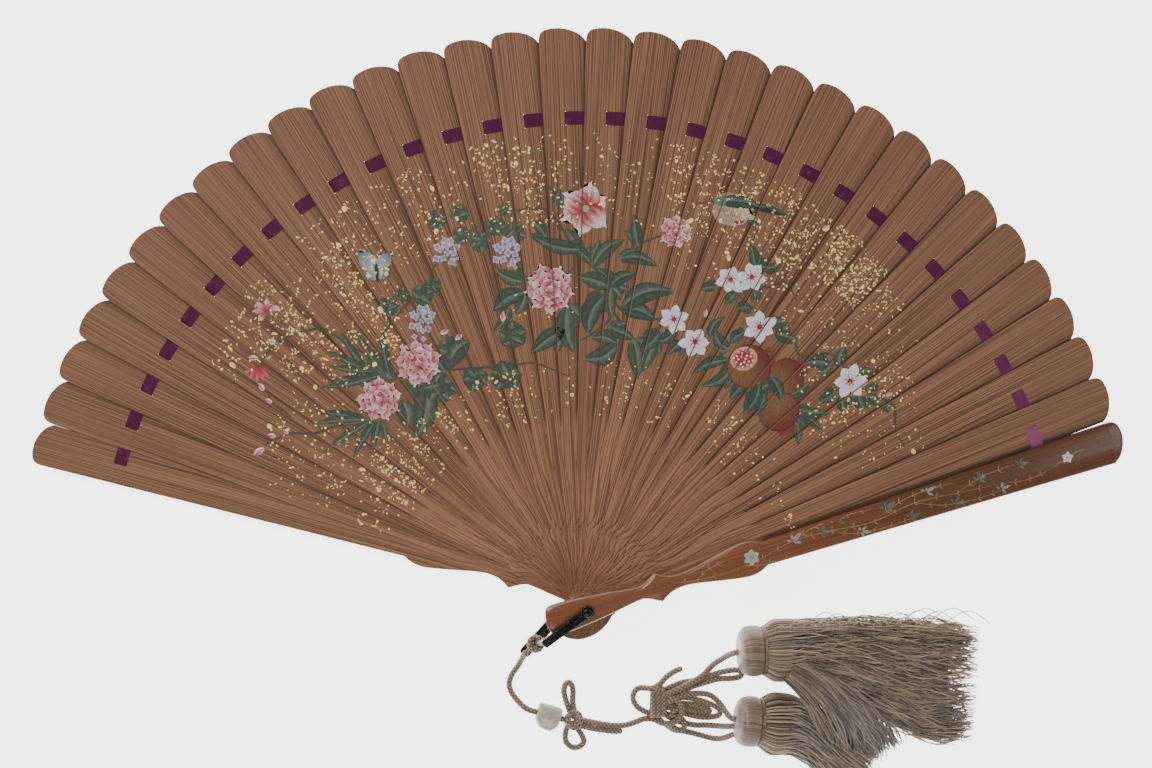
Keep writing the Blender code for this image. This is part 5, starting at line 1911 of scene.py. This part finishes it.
def braid(name, route):
    """Round braid along a route: strands each way round pass over and under each other."""
    strands, radius, step = 4, CORD_RADIUS, 0.27 * MM
    line = even(smooth(np.array(route) * MM, 14), step)
    line[:, 2] = np.maximum(line[:, 2], radius)
    first, second = side_frames(line)
    sides = 24
    around = np.linspace(0, math.tau, sides, endpoint=False)
    run = np.arange(len(line)) * step
    cell = 1.75 * MM
    p = around[None, :] * strands / math.tau + run[:, None] / cell
    q = around[None, :] * strands / math.tau - run[:, None] / cell
    odd = (np.floor(p) + np.floor(q)) % 2 > 0.5
    across = np.where(odd, p % 1, q % 1)
    along = np.where(odd, q % 1, p % 1)
    crown = np.sin(math.pi * across) ** 0.7 * (0.35 + 0.65 * np.sin(math.pi * along) ** 0.5)
    tail = np.minimum(np.arange(len(line)), 5) / 5
    taper = np.sqrt(1 - (1 - np.minimum(tail, tail[::-1])) ** 2 * 0.92)
    reach = radius * (0.84 + 0.2 * crown) * taper[:, None]
    outward = np.cos(around)[None, :, None] * first[:, None, :]
    outward = outward + np.sin(around)[None, :, None] * second[:, None, :]
    rings = line[:, None, :] + outward * reach[:, :, None]
    points, faces = skin(list(rings))
    mesh = mesh_of(name, points, faces)
    point_values(mesh, "crown", crown.ravel())
    point_values(mesh, "lean", np.where(odd, 1.0, -1.0).ravel())
    chart = mesh.uv_layers.new(name="braid")
    for face in mesh.polygons:
        for corner in face.loop_indices:
            spot = mesh.loops[corner].vertex_index
            chart.data[corner].uv = (run[spot // sides], around[spot % sides] * radius)
    mesh.shade_smooth()
    piece = keep_object(name, mesh, finish_of("cord"))
    return piece, line


def lay_cord(name, route, nodes, follows=None):
    """A strand of the cord, fixed to the cord's body; a strand that names a body to follow is left
    unattached.
    """
    piece, line = braid(name, route)
    if follows is None:
        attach(piece, CORD_BODY)
    else:
        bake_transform(piece)
    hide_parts(*nodes)
    line_length(line)


def build_cords(sizes):
    """Lead, bow, middle run, wrapped knot with its folds, and the four legs to the tassels."""
    ring, _ = braid("cord_ring_braid", ring_route())
    hand_over(ring, "bail", "cord_silk", "cord_ring")
    lay_cord("cord_lead_braid", LEAD, ["cord_lead"], follows="bail")
    lay_cord("bow_strand", BOW, ["bow_knot", "cord_middle_return"])
    lay_cord("bow_wrap", BOW_WRAP, ["bow_knot"])
    lay_cord("middle_strand", MIDDLE, ["cord_middle", "big_knot"])
    lay_cord("knot_wrap", wrap_route(), ["big_knot"])
    lay_cord("loop_and_tail", LOOP_AND_TAIL, ["cord_small_loop", "cord_tail"])
    lay_cord("upper_fold_strand", UPPER_FOLD, ["upper_fold"])
    lay_cord("lower_fold_strand", LOWER_FOLD, ["lower_fold"])
    lay_cord("inner_fold_strand", INNER_FOLD, ["lower_fold"])
    lay_cord("low_bight_strand", LOW_BIGHT, ["big_knot"])
    lay_cord("upper_leg", UPPER_LEG, ["upper_tassel_cord"])
    lay_cord("lower_leg_1", LOWER_LEGS[0], ["lower_tassel_cord_1"])
    for number in (2, 3):
        lay_cord(f"lower_leg_{number}", LOWER_LEGS[number - 1], [f"lower_tassel_cord_{number}"])


# The bead, in millimetres: its middle, half its length, width and height, and its bore's radius.
BEAD_CENTRE = (-14.0, -54.0, 4.6)
BEAD_HALF = (5.4, 5.6, 4.25)
BEAD_BORE = 1.6


def build_bead(sizes):
    """A pebble of pale stone, wider on one side, bored for the cord."""
    heading = math.radians(-17.5)
    ahead = Vector((math.cos(heading), math.sin(heading), 0.0))
    side = Vector((-math.sin(heading), math.cos(heading), 0.0))
    centre = Vector(BEAD_CENTRE) * MM
    half, wide, tall = BEAD_HALF
    stations = smooth([(-0.97, 0.58, 0.54, 0.06), (-0.86, 0.74, 0.76, 0.06), (-0.5, 0.94, 0.95, -0.04),
                       (0.0, 1.0, 1.0, -0.08), (0.5, 0.98, 0.96, -0.08), (0.86, 0.78, 0.78, 0.0),
                       (0.97, 0.58, 0.54, 0.04)], 5)
    rings = []
    for share in np.linspace(0.97, -0.97, 7):
        rings.append([(share * half, *polar(BEAD_BORE, a)) for a in turns(40)])
    outer = []
    for along, w, t, shift in stations:
        ring = []
        for a in turns(40):
            dent = 1.0 - 0.09 * math.exp(-((a - 1.7) ** 2) / 0.12) + 0.05 * math.exp(-((a - 4.4) ** 2) / 0.5)
            across = shift * 2 * wide + wide * w * math.cos(a) * dent
            ring.append((along * half, across, tall * t * math.sin(a) * dent))
        outer.append(ring)
    points, faces = skin([*rings, *outer], closed_ends=False, looped=True)
    world = [centre + (ahead * x + side * y + Vector((0, 0, z))) * MM for x, y, z in points]
    source = keep_object("bead_source", mesh_of("bead_source", world, faces), finish_of("stone"))
    fine = source.modifiers.new("smooth", "SUBSURF")
    fine.levels = 2
    fine.render_levels = 2
    piece = settle(source, "bead_pebble")
    piece.data.shade_smooth()
    hand_over(piece, "bead", "bead_stone", "bead")


# ---------------------------------------------------------------- tassels


# (distance from the neck, sideways shift, width, height), in millimetres.
UPPER_SKIRT = [
    (-0.8, 0.0, 19.8, 19.8), (1.2, 0.0, 22.4, 22.4), (4.0, 0.0, 25.2, 25.2), (9.0, 0.0, 25.4, 24.6),
    (16.0, -0.4, 25.0, 22.0), (28.0, -2.0, 29.0, 19.0), (44.0, -7.0, 38.0, 15.0), (62.0, -13.5, 49.0, 11.5),
    (80.0, -18.0, 55.0, 8.6), (99.0, -19.5, 50.0, 6.0),
]
LOWER_SKIRT = [
    (-0.8, 0.0, 19.8, 19.8), (1.2, 0.0, 22.4, 22.4), (4.0, 0.0, 25.2, 25.2), (8.0, 0.0, 25.2, 24.0),
    (13.0, -0.6, 24.6, 22.0), (22.0, -5.0, 24.0, 18.0), (32.0, -12.4, 27.0, 14.0), (42.0, -19.0, 27.0, 10.5),
    (56.0, -27.0, 24.0, 7.0),
]
SKIRT_START = 11.6


class Tassel:
    """Where one tassel lies: its cap's back, heading and the shape of its skirt."""

    def __init__(self, side, at, heading, skirt, count_share, seed):
        self.side = side
        self.back = Vector((at[0], at[1], 12.8))
        self.ahead = Vector((math.cos(heading), math.sin(heading), 0.0))
        self.across = Vector((-math.sin(heading), math.cos(heading), 0.0))
        self.skirt = smooth(skirt, 8)
        self.count_share = count_share
        self.seed = seed

    def spot(self, along, around, reach):
        """A point of the cap, along its axis and round it, in millimetres."""
        out = self.back + self.ahead * along + self.across * reach * math.cos(around)
        return out + Vector((0.0, 0.0, reach * math.sin(around)))

    def skirt_spot(self, along, around, depth, shift=0.0):
        """A point of the skirt; depth 1 is its outer face and 0 its middle."""
        rows = self.skirt
        drift = np.interp(along, rows[:, 0], rows[:, 1])
        width = np.interp(along, rows[:, 0], rows[:, 2]) / 2
        height = np.interp(along, rows[:, 0], rows[:, 3]) / 2
        lie = min(1.0, max(0.0, (along - 5.0) / 8.0))
        floor = 12.8 * (1 - lie) + height * lie
        out = self.back + self.ahead * (SKIRT_START + along) + self.across * (drift + shift)
        out += self.across * width * depth * math.cos(around)
        return out + Vector((0.0, 0.0, floor - self.back.z + height * depth * math.sin(around)))


TASSELS = (
    Tassel("upper", (66.0, -24.6), math.radians(-1.0), UPPER_SKIRT, 1.0, 21),
    Tassel("lower", (65.4, -55.2), math.radians(-7.0), LOWER_SKIRT, 0.86, 22),
)


def join_skin(points, faces, more):
    """Add a skin's points and faces to those already there."""
    shift = len(points)
    points += more[0]
    faces += [tuple(i + shift for i in face) for face in more[1]]


def build_caps(sizes):
    """Caps wrapped in silk laid lengthwise, and the bound neck below each."""
    for tassel in TASSELS:
        profile = smooth([
            (0.0, 1.4), (0.02, 4.6), (0.3, 6.6), (1.3, 8.7), (2.8, 9.9), (5.0, 10.45), (7.2, 10.5),
            (8.6, 10.3), (9.2, 9.95), (9.55, 9.5),
        ], 4)
        threads = sizes.cap_threads
        sides = threads * 5
        tones = random.Random(tassel.seed)
        tone = [tones.random() for _ in range(threads)]
        rings, crowns, marks = [], [], []
        for along, reach in profile:
            ring = []
            for i in range(sides):
                around = math.tau * i / sides + 0.02 * math.sin(along * 0.9)
                crown = math.sin(math.pi * (i % 5 + 0.5) / 5)
                rise = reach + 0.13 * crown * min(1.0, reach / 6)
                ring.append(tassel.spot(along, around, rise) * MM)
                crowns.append(crown)
                marks.append(tone[i // 5])
            rings.append(ring)
        points, faces = skin(rings)
        mesh = mesh_of(f"{tassel.side}_cap_silk", points, faces)
        point_values(mesh, "crown", crowns)
        point_values(mesh, "tone", marks)
        soften(mesh, 60.0)
        cap = keep_object(f"{tassel.side}_cap_silk", mesh, finish_of("wrap"))
        hand_over(cap, "rear_guard", "tassel_silk", f"{tassel.side}_tassel_cap")
        points, faces = [], []
        for start, reach, radius in ((9.95, 9.75, 0.34), (10.55, 9.95, 0.42), (11.2, 9.7, 0.34)):
            rings = []
            for i in range(160):
                around = math.tau * i / 160
                ring = []
                for k in range(10):
                    tilt = math.tau * k / 10
                    rope = radius * (1.0 + 0.2 * math.sin(2 * tilt + i * math.tau * 40 / 160))
                    out = reach + rope * math.cos(tilt)
                    ring.append(tassel.spot(start + rope * math.sin(tilt), around, out) * MM)
                rings.append(ring)
            join_skin(points, faces, skin(rings, looped=True))
        rings = [[tassel.spot(along, a, 9.5) * MM for a in turns(64)] for along in (9.65, 11.5)]
        join_skin(points, faces, skin(rings))
        mesh = mesh_of(f"{tassel.side}_neck_thread", points, faces)
        mesh.shade_smooth()
        neck = keep_object(f"{tassel.side}_neck_thread", mesh, finish_of("gold_thread"))
        hand_over(neck, "rear_guard", "tassel_silk", f"{tassel.side}_tassel_collar")


def thread_tree(finish):
    """Nodes that turn drawn lines into round threads and note the run along each."""
    grow = Growth(f"Spin {finish.name}", {"Thread width": "Float"})
    given = grow.given
    lines = grow.add("GeometryNodeMeshToCurve", 0, {"Mesh": given["Geometry"]})
    run = grow.add("GeometryNodeSplineParameter", "Length", {})
    noted = grow.add("GeometryNodeStoreNamedAttribute", 0, {"Geometry": lines, "Name": "along", "Value": run})
    thick = grow.add("GeometryNodeInputNamedAttribute", "Attribute", {"Name": "thick"})
    sized = grow.add("GeometryNodeSetCurveRadius", 0, {"Curve": noted, "Radius": thick})
    half = grow.add("ShaderNodeMath", 0, {0: given["Thread width"], 1: 0.5}, {"operation": "MULTIPLY"})
    ring = grow.add("GeometryNodeCurvePrimitiveCircle", 0, {"Resolution": 4, "Radius": half})
    spun = grow.add("GeometryNodeCurveToMesh", 0, {
        "Curve": sized, "Profile Curve": ring, "Fill Caps": True, "Scale": thick,
    })
    return grow.close(spun, finish)


def spin_threads(name, lines, tones, thicks, finish, width):
    """Round threads along the given lines, as one plain mesh."""
    points, edges, tone_of, thick_of = [], [], [], []
    for line, tone, thick in zip(lines, tones, thicks):
        start = len(points)
        points += [tuple(point) for point in line]
        edges += [(start + i, start + i + 1) for i in range(len(line) - 1)]
        tone_of += [tone] * len(line)
        thick_of += [thick] * (len(line) - 2) + [thick * 0.8, thick * 0.45]
    mesh = bpy.data.meshes.new(name)
    mesh.from_pydata(points, edges, [])
    point_values(mesh, "tone", tone_of)
    point_values(mesh, "thick", thick_of)
    source = keep_object(name, mesh)
    tree, places = thread_tree(finish)
    spin = source.modifiers.new("spin", "NODES")
    spin.node_group = tree
    spin[places["Thread width"]] = width
    piece = settle(source, name)
    piece.data.shade_smooth()
    return piece


def skirt_lines(tassel, count, rng):
    """Lines of the skirt: from the neck over the bulge, then fanning out to ragged ends."""
    lines, tones, thicks = [], [], []
    last = float(tassel.skirt[-1, 0])
    for number in range(count):
        around = math.tau * (number * 0.618034 % 1.0)
        depth = 1.03 - 0.24 * (number % 3) / 2 - rng.random() * 0.08
        drift = rng.uniform(-0.55, 0.55)
        end = last * rng.uniform(0.9, 1.0) if rng.random() < 0.86 else last * rng.uniform(0.74, 0.92)
        sway, phase = rng.uniform(0.3, 2.1), rng.uniform(0, math.tau)
        wave = rng.uniform(0.1, 0.26)
        curl = rng.uniform(-1.0, 1.0) * rng.random() * 5.0
        line = []
        along = -0.8
        while along < end:
            loose = min(1.0, max(0.0, (along - 8.0) / 30.0))
            bend = drift * loose
            swing = sway * loose * math.sin(along * wave + phase)
            swing += curl * max(0.0, (along - end * 0.72) / (end * 0.28)) ** 2
            reach = depth * (1.0 - 0.03 * loose)
            spot = tassel.skirt_spot(along, around + bend, reach, swing)
            spot.z = max(0.35, spot.z + 0.8 * loose * math.sin(along * wave * 1.7 + phase * 2))
            line.append(spot * MM)
            along += 1.6 if along < 10 else 3.3
        lines.append(line)
        tones.append(min(1.0, max(0.0, rng.gauss(0.55, 0.28))))
        thicks.append(rng.uniform(0.8, 1.2))
    return lines, tones, thicks


def shade_core_of(tassel, depth):
    """Dark inner body of a skirt, so that nothing shows between its threads but this painted shade."""
    rings = []
    last = float(tassel.skirt[-1, 0])
    for along in np.arange(-0.6, last * 0.86, 2.6):
        shrink = depth - 0.35 * max(0.0, (along - last * 0.55) / last)
        rings.append([tassel.skirt_spot(along, a, shrink) * MM for a in turns(40)])
    points, faces = skin(rings)
    mesh = mesh_of(f"{tassel.side}_skirt_core", points, faces)
    point_values(mesh, "tone", [0.34] * len(points))
    point_values(mesh, "along", [point[0] for point in points])
    mesh.shade_smooth()
    return mesh


def routed_lines(route, count, rng, spread_start, spread_end, lift):
    """Lines side by side along a route, spreading from one width to another."""
    base = smooth(route, 6)
    lines, tones, thicks = [], [], []
    for _ in range(count):
        place = rng.uniform(-1, 1)
        layer = rng.random()
        phase = rng.uniform(0, math.tau)
        cut = int(len(base) * rng.uniform(0.86, 1.0))
        line = []
        for row in range(cut):
            share = row / (len(base) - 1)
            spread = spread_start + (spread_end - spread_start) * share
            direction = Vector(base[min(row + 1, len(base) - 1)] - base[max(row - 1, 0)])
            flat = Vector((-direction.y, direction.x, 0.0)).normalized()
            weave = 1.5 * math.sin(share * 7 + phase) * (0.3 + share)
            weave += 0.7 * math.sin(share * 17 + phase * 3) * share
            spot = Vector(base[row]) + flat * (place * spread + weave)
            spot.z += (layer - 0.5) * lift * (1 - place * place) - abs(place) * 0.8
            spot.z = max(0.35, spot.z)
            line.append(spot * MM)
        lines.append(line)
        tones.append(rng.random())
        thicks.append(rng.uniform(0.8, 1.15))
    return lines, tones, thicks


def build_skirts(sizes):
    """Silk threads of both tassels, the brown swath that crosses down, and a few stray loops."""
    shades = bpy.context.scene.fan_colours
    pale = thread_finish("pale_thread", shades.thread_shade, shades.thread)
    brown = thread_finish("brown_thread", shades.swath_shade, shades.swath)
    for tassel in TASSELS:
        rng = random.Random(tassel.seed + 5)
        # A darker solid inside each skirt: painted shade between the threads.
        core = keep_object(f"{tassel.side}_skirt_core", shade_core_of(tassel, 0.8), brown)
        hand_over(core, "rear_guard", "tassel_silk", f"{tassel.side}_tassel_skirt")
        count = int(sizes.thread_count * tassel.count_share)
        lines, tones, thicks = skirt_lines(tassel, count, rng)
        threads = spin_threads(f"{tassel.side}_skirt_threads", lines, tones, thicks, pale, sizes.thread_width)
        hand_over(threads, "rear_guard", "tassel_silk", f"{tassel.side}_tassel_skirt")
    rng = random.Random(41)
    route = [(86.0, -30.0, 23.6), (93.0, -35.0, 23.4), (100.0, -42.0, 21.6), (106.0, -50.0, 19.0),
             (112.0, -59.0, 15.4), (116.5, -68.0, 10.0), (119.0, -76.0, 4.6), (119.8, -83.5, 1.4)]
    lines, tones, thicks = routed_lines(route, 260, rng, 4.6, 14.5, 4.6)
    route = [(90.0, -31.0, 23.0), (98.0, -36.0, 21.4), (107.0, -43.5, 19.0), (116.0, -52.5, 15.0),
             (124.0, -62.0, 10.4), (130.5, -71.0, 5.6), (134.5, -78.5, 2.0)]
    for made, more in zip((lines, tones, thicks), routed_lines(route, 170, rng, 4.0, 11.0, 3.6)):
        made.extend(more)
    swath = spin_threads("brown_swath", lines, tones, thicks, brown, sizes.thread_width)
    hand_over(swath, "rear_guard", "tassel_silk", "upper_tassel_skirt")
    strays = []
    for number in range(16):
        x = 84.0 + number * 5.4 + rng.uniform(-2, 2)
        rise = rng.uniform(1.2, 4.2)
        high = 24.0 - (x - 84.0) * 0.17
        y = -13.0 + rng.uniform(-1.5, 0.8)
        strays.append([
            (x - 9.0, y - 2.0, high * 0.7), (x - 4.0, y + rise * 0.6, high * 0.72),
            (x + 1.0, y + rise, high * 0.66), (x + 6.0, y + rise * 0.3, high * 0.6),
            (x + 11.0, y - 3.0, high * 0.6),
        ])
    lines = [[Vector(point) * MM for point in smooth(route, 5)] for route in strays]
    wisps = spin_threads(
        "stray_threads", lines, [0.7] * len(lines), [0.8] * len(lines), pale, sizes.thread_width
    )
    hand_over(wisps, "rear_guard", "tassel_silk", "upper_tassel_skirt")


# ---------------------------------------------------------------- stage


def lamp(name, at, toward, size, power, colour):
    """A soft box of light that points at a place."""
    data = bpy.data.lights.new(name, "AREA")
    data.shape = "RECTANGLE"
    data.size, data.size_y = size
    data.energy = power
    data.color = colour
    made = bpy.data.objects.new(name, data)
    made.location = at
    made.rotation_euler = (Vector(toward) - Vector(at)).to_track_quat("-Z", "Y").to_euler()
    bpy.context.scene.collection.objects.link(made)


FLOOR_LEVEL = -0.2 * MM
CAMERA_PLACE = (-0.04864, 0.16670, 0.56032)
CAMERA_TURN = (-0.1389, -0.0823, 0.0029)
CAMERA_LENS = 42.55


def build_stage(sizes):
    """Pale floor, soft studio light and the camera over the fan."""
    rings = []
    for reach in (0.0001, 0.2, 0.6, 1.6, 4.0):
        rings.append([(*polar(reach, a), FLOOR_LEVEL) for a in turns(48)])
    points, faces = skin(rings, closed_ends=False)
    floor = keep_object("floor", mesh_of("floor", points, faces, outward=False), finish_of("floor"))
    floor.data.flip_normals()
    world = bpy.data.worlds.new("studio")
    world.use_nodes = True
    world.node_tree.nodes["Background"].inputs["Color"].default_value = (0.92, 0.95, 1.0, 1.0)
    world.node_tree.nodes["Background"].inputs["Strength"].default_value = WORLD_LIGHT
    bpy.context.scene.world = world
    for row in LAMPS:
        lamp(*row)
    camera = bpy.data.cameras.new("camera")
    camera.lens = CAMERA_LENS
    camera.sensor_width = 36.0
    camera.clip_start = 0.01
    camera.clip_end = 20.0
    view = bpy.data.objects.new("camera", camera)
    view.location = CAMERA_PLACE
    view.rotation_euler = CAMERA_TURN
    bpy.context.scene.collection.objects.link(view)
    bpy.context.scene.camera = view


WORLD_LIGHT = 0.35
LAMPS = (
    ("key", (-0.62, 0.62, 0.85), (0.0, 0.06, 0.0), (0.6, 0.45), 11.0, (1.0, 0.98, 0.95)),
    ("fill", (0.75, 0.15, 0.7), (0.05, 0.05, 0.0), (0.6, 0.6), 2.4, (0.95, 0.97, 1.0)),
    ("front", (-0.15, -0.7, 0.75), (0.05, 0.0, 0.0), (0.6, 0.5), 3.2, (1.0, 1.0, 1.0)),
)


# ---------------------------------------------------------------- operators


class FanOperator:
    """What every building step shares."""

    bl_options = {"REGISTER", "UNDO"}
    build = None

    def execute(self, context):
        type(self).build(context.scene.fan_sizes)
        return {"FINISHED"}


class FAN_OT_stage(FanOperator, bpy.types.Operator):
    """Lay the floor and set the light and the camera"""

    bl_idname = "fan.stage"
    bl_label = "Stage"
    build = staticmethod(build_stage)


class FAN_OT_cords(FanOperator, bpy.types.Operator):
    """Braid the cord, its bow, its big knot and the legs to the tassels"""

    bl_idname = "fan.cords"
    bl_label = "Cords and knots"
    build = staticmethod(build_cords)


class FAN_OT_blades(FanOperator, bpy.types.Operator):
    """Cut the thirty blades and set them round the rivet"""

    bl_idname = "fan.blades"
    bl_label = "Blades"
    build = staticmethod(build_blades)


class FAN_OT_rear_guard(FanOperator, bpy.types.Operator):
    """Shape the rear guard, lacquered below and plain above"""

    bl_idname = "fan.rear_guard"
    bl_label = "Rear guard"
    build = staticmethod(lambda sizes: build_guard(sizes, 0, False))


class FAN_OT_front_guard(FanOperator, bpy.types.Operator):
    """Shape the front guard, crowned and lacquered above"""

    bl_idname = "fan.front_guard"
    bl_label = "Front guard"
    build = staticmethod(lambda sizes: build_guard(sizes, BLADES + 1, True))


class FAN_OT_painting(FanOperator, bpy.types.Operator):
    """Paint flowers, fruit, a bird and a butterfly over the blades"""

    bl_idname = "fan.painting"
    bl_label = "Painting"
    build = staticmethod(build_painting)


class FAN_OT_flecks(FanOperator, bpy.types.Operator):
    """Scatter flecks of gold leaf over the blades"""

    bl_idname = "fan.flecks"
    bl_label = "Gold flecks"
    build = staticmethod(build_flecks)


class FAN_OT_inlay(FanOperator, bpy.types.Operator):
    """Lay gold sprays and shell leaves on the front guard"""

    bl_idname = "fan.inlay"
    bl_label = "Guard inlay"
    build = staticmethod(build_inlay)


class FAN_OT_ribbon(FanOperator, bpy.types.Operator):
    """Lace the ribbon through the blades' slits"""

    bl_idname = "fan.ribbon"
    bl_label = "Ribbon"
    build = staticmethod(build_ribbon)


class FAN_OT_rivet(FanOperator, bpy.types.Operator):
    """Turn the rivet that every leaf swings on"""

    bl_idname = "fan.rivet"
    bl_label = "Rivet"
    build = staticmethod(build_rivet)


class FAN_OT_bail(FanOperator, bpy.types.Operator):
    """Make the bail's two straps, its pin and its end stud"""

    bl_idname = "fan.bail"
    bl_label = "Bail"
    build = staticmethod(build_bail)


class FAN_OT_bead(FanOperator, bpy.types.Operator):
    """Shape the stone bead"""

    bl_idname = "fan.bead"
    bl_label = "Bead"
    build = staticmethod(build_bead)


class FAN_OT_caps(FanOperator, bpy.types.Operator):
    """Wrap the tassels' caps and bind their necks"""

    bl_idname = "fan.caps"
    bl_label = "Tassel caps"
    build = staticmethod(build_caps)


class FAN_OT_skirts(FanOperator, bpy.types.Operator):
    """Lay the tassels' threads"""

    bl_idname = "fan.skirts"
    bl_label = "Tassel threads"
    build = staticmethod(build_skirts)


STEPS = (
    FAN_OT_stage,
    FAN_OT_bead,
    FAN_OT_caps,
    FAN_OT_skirts,
    FAN_OT_cords,
    FAN_OT_blades,
    FAN_OT_rear_guard,
    FAN_OT_front_guard,
    FAN_OT_painting,
    FAN_OT_flecks,
    FAN_OT_inlay,
    FAN_OT_ribbon,
    FAN_OT_rivet,
    FAN_OT_bail,
)


class FAN_PT_steps(bpy.types.Panel):
    """Building steps of the fan"""

    bl_idname = "FAN_PT_steps"
    bl_label = "Hand fan"
    bl_space_type = "VIEW_3D"
    bl_region_type = "UI"
    bl_category = "Hand fan"

    def draw(self, context):
        for step in STEPS:
            self.layout.operator(step.bl_idname)
        for group in (context.scene.fan_sizes, context.scene.fan_colours):
            column = self.layout.column()
            for name in group.bl_rna.properties.keys():
                if name not in ("rna_type", "name"):
                    column.prop(group, name)


CLASSES = (FanColours, FanSizes, *STEPS, FAN_PT_steps)


def register():
    for kind in CLASSES:
        bpy.utils.register_class(kind)
    bpy.types.Scene.fan_sizes = bpy.props.PointerProperty(type=FanSizes)
    bpy.types.Scene.fan_colours = bpy.props.PointerProperty(type=FanColours)


def unregister():
    del bpy.types.Scene.fan_colours
    del bpy.types.Scene.fan_sizes
    for kind in reversed(CLASSES):
        bpy.utils.unregister_class(kind)


def main():
    register()
    for step in STEPS:
        group, name = step.bl_idname.split(".")
        getattr(getattr(bpy.ops, group), name)()


if __name__ == "__main__":
    main()
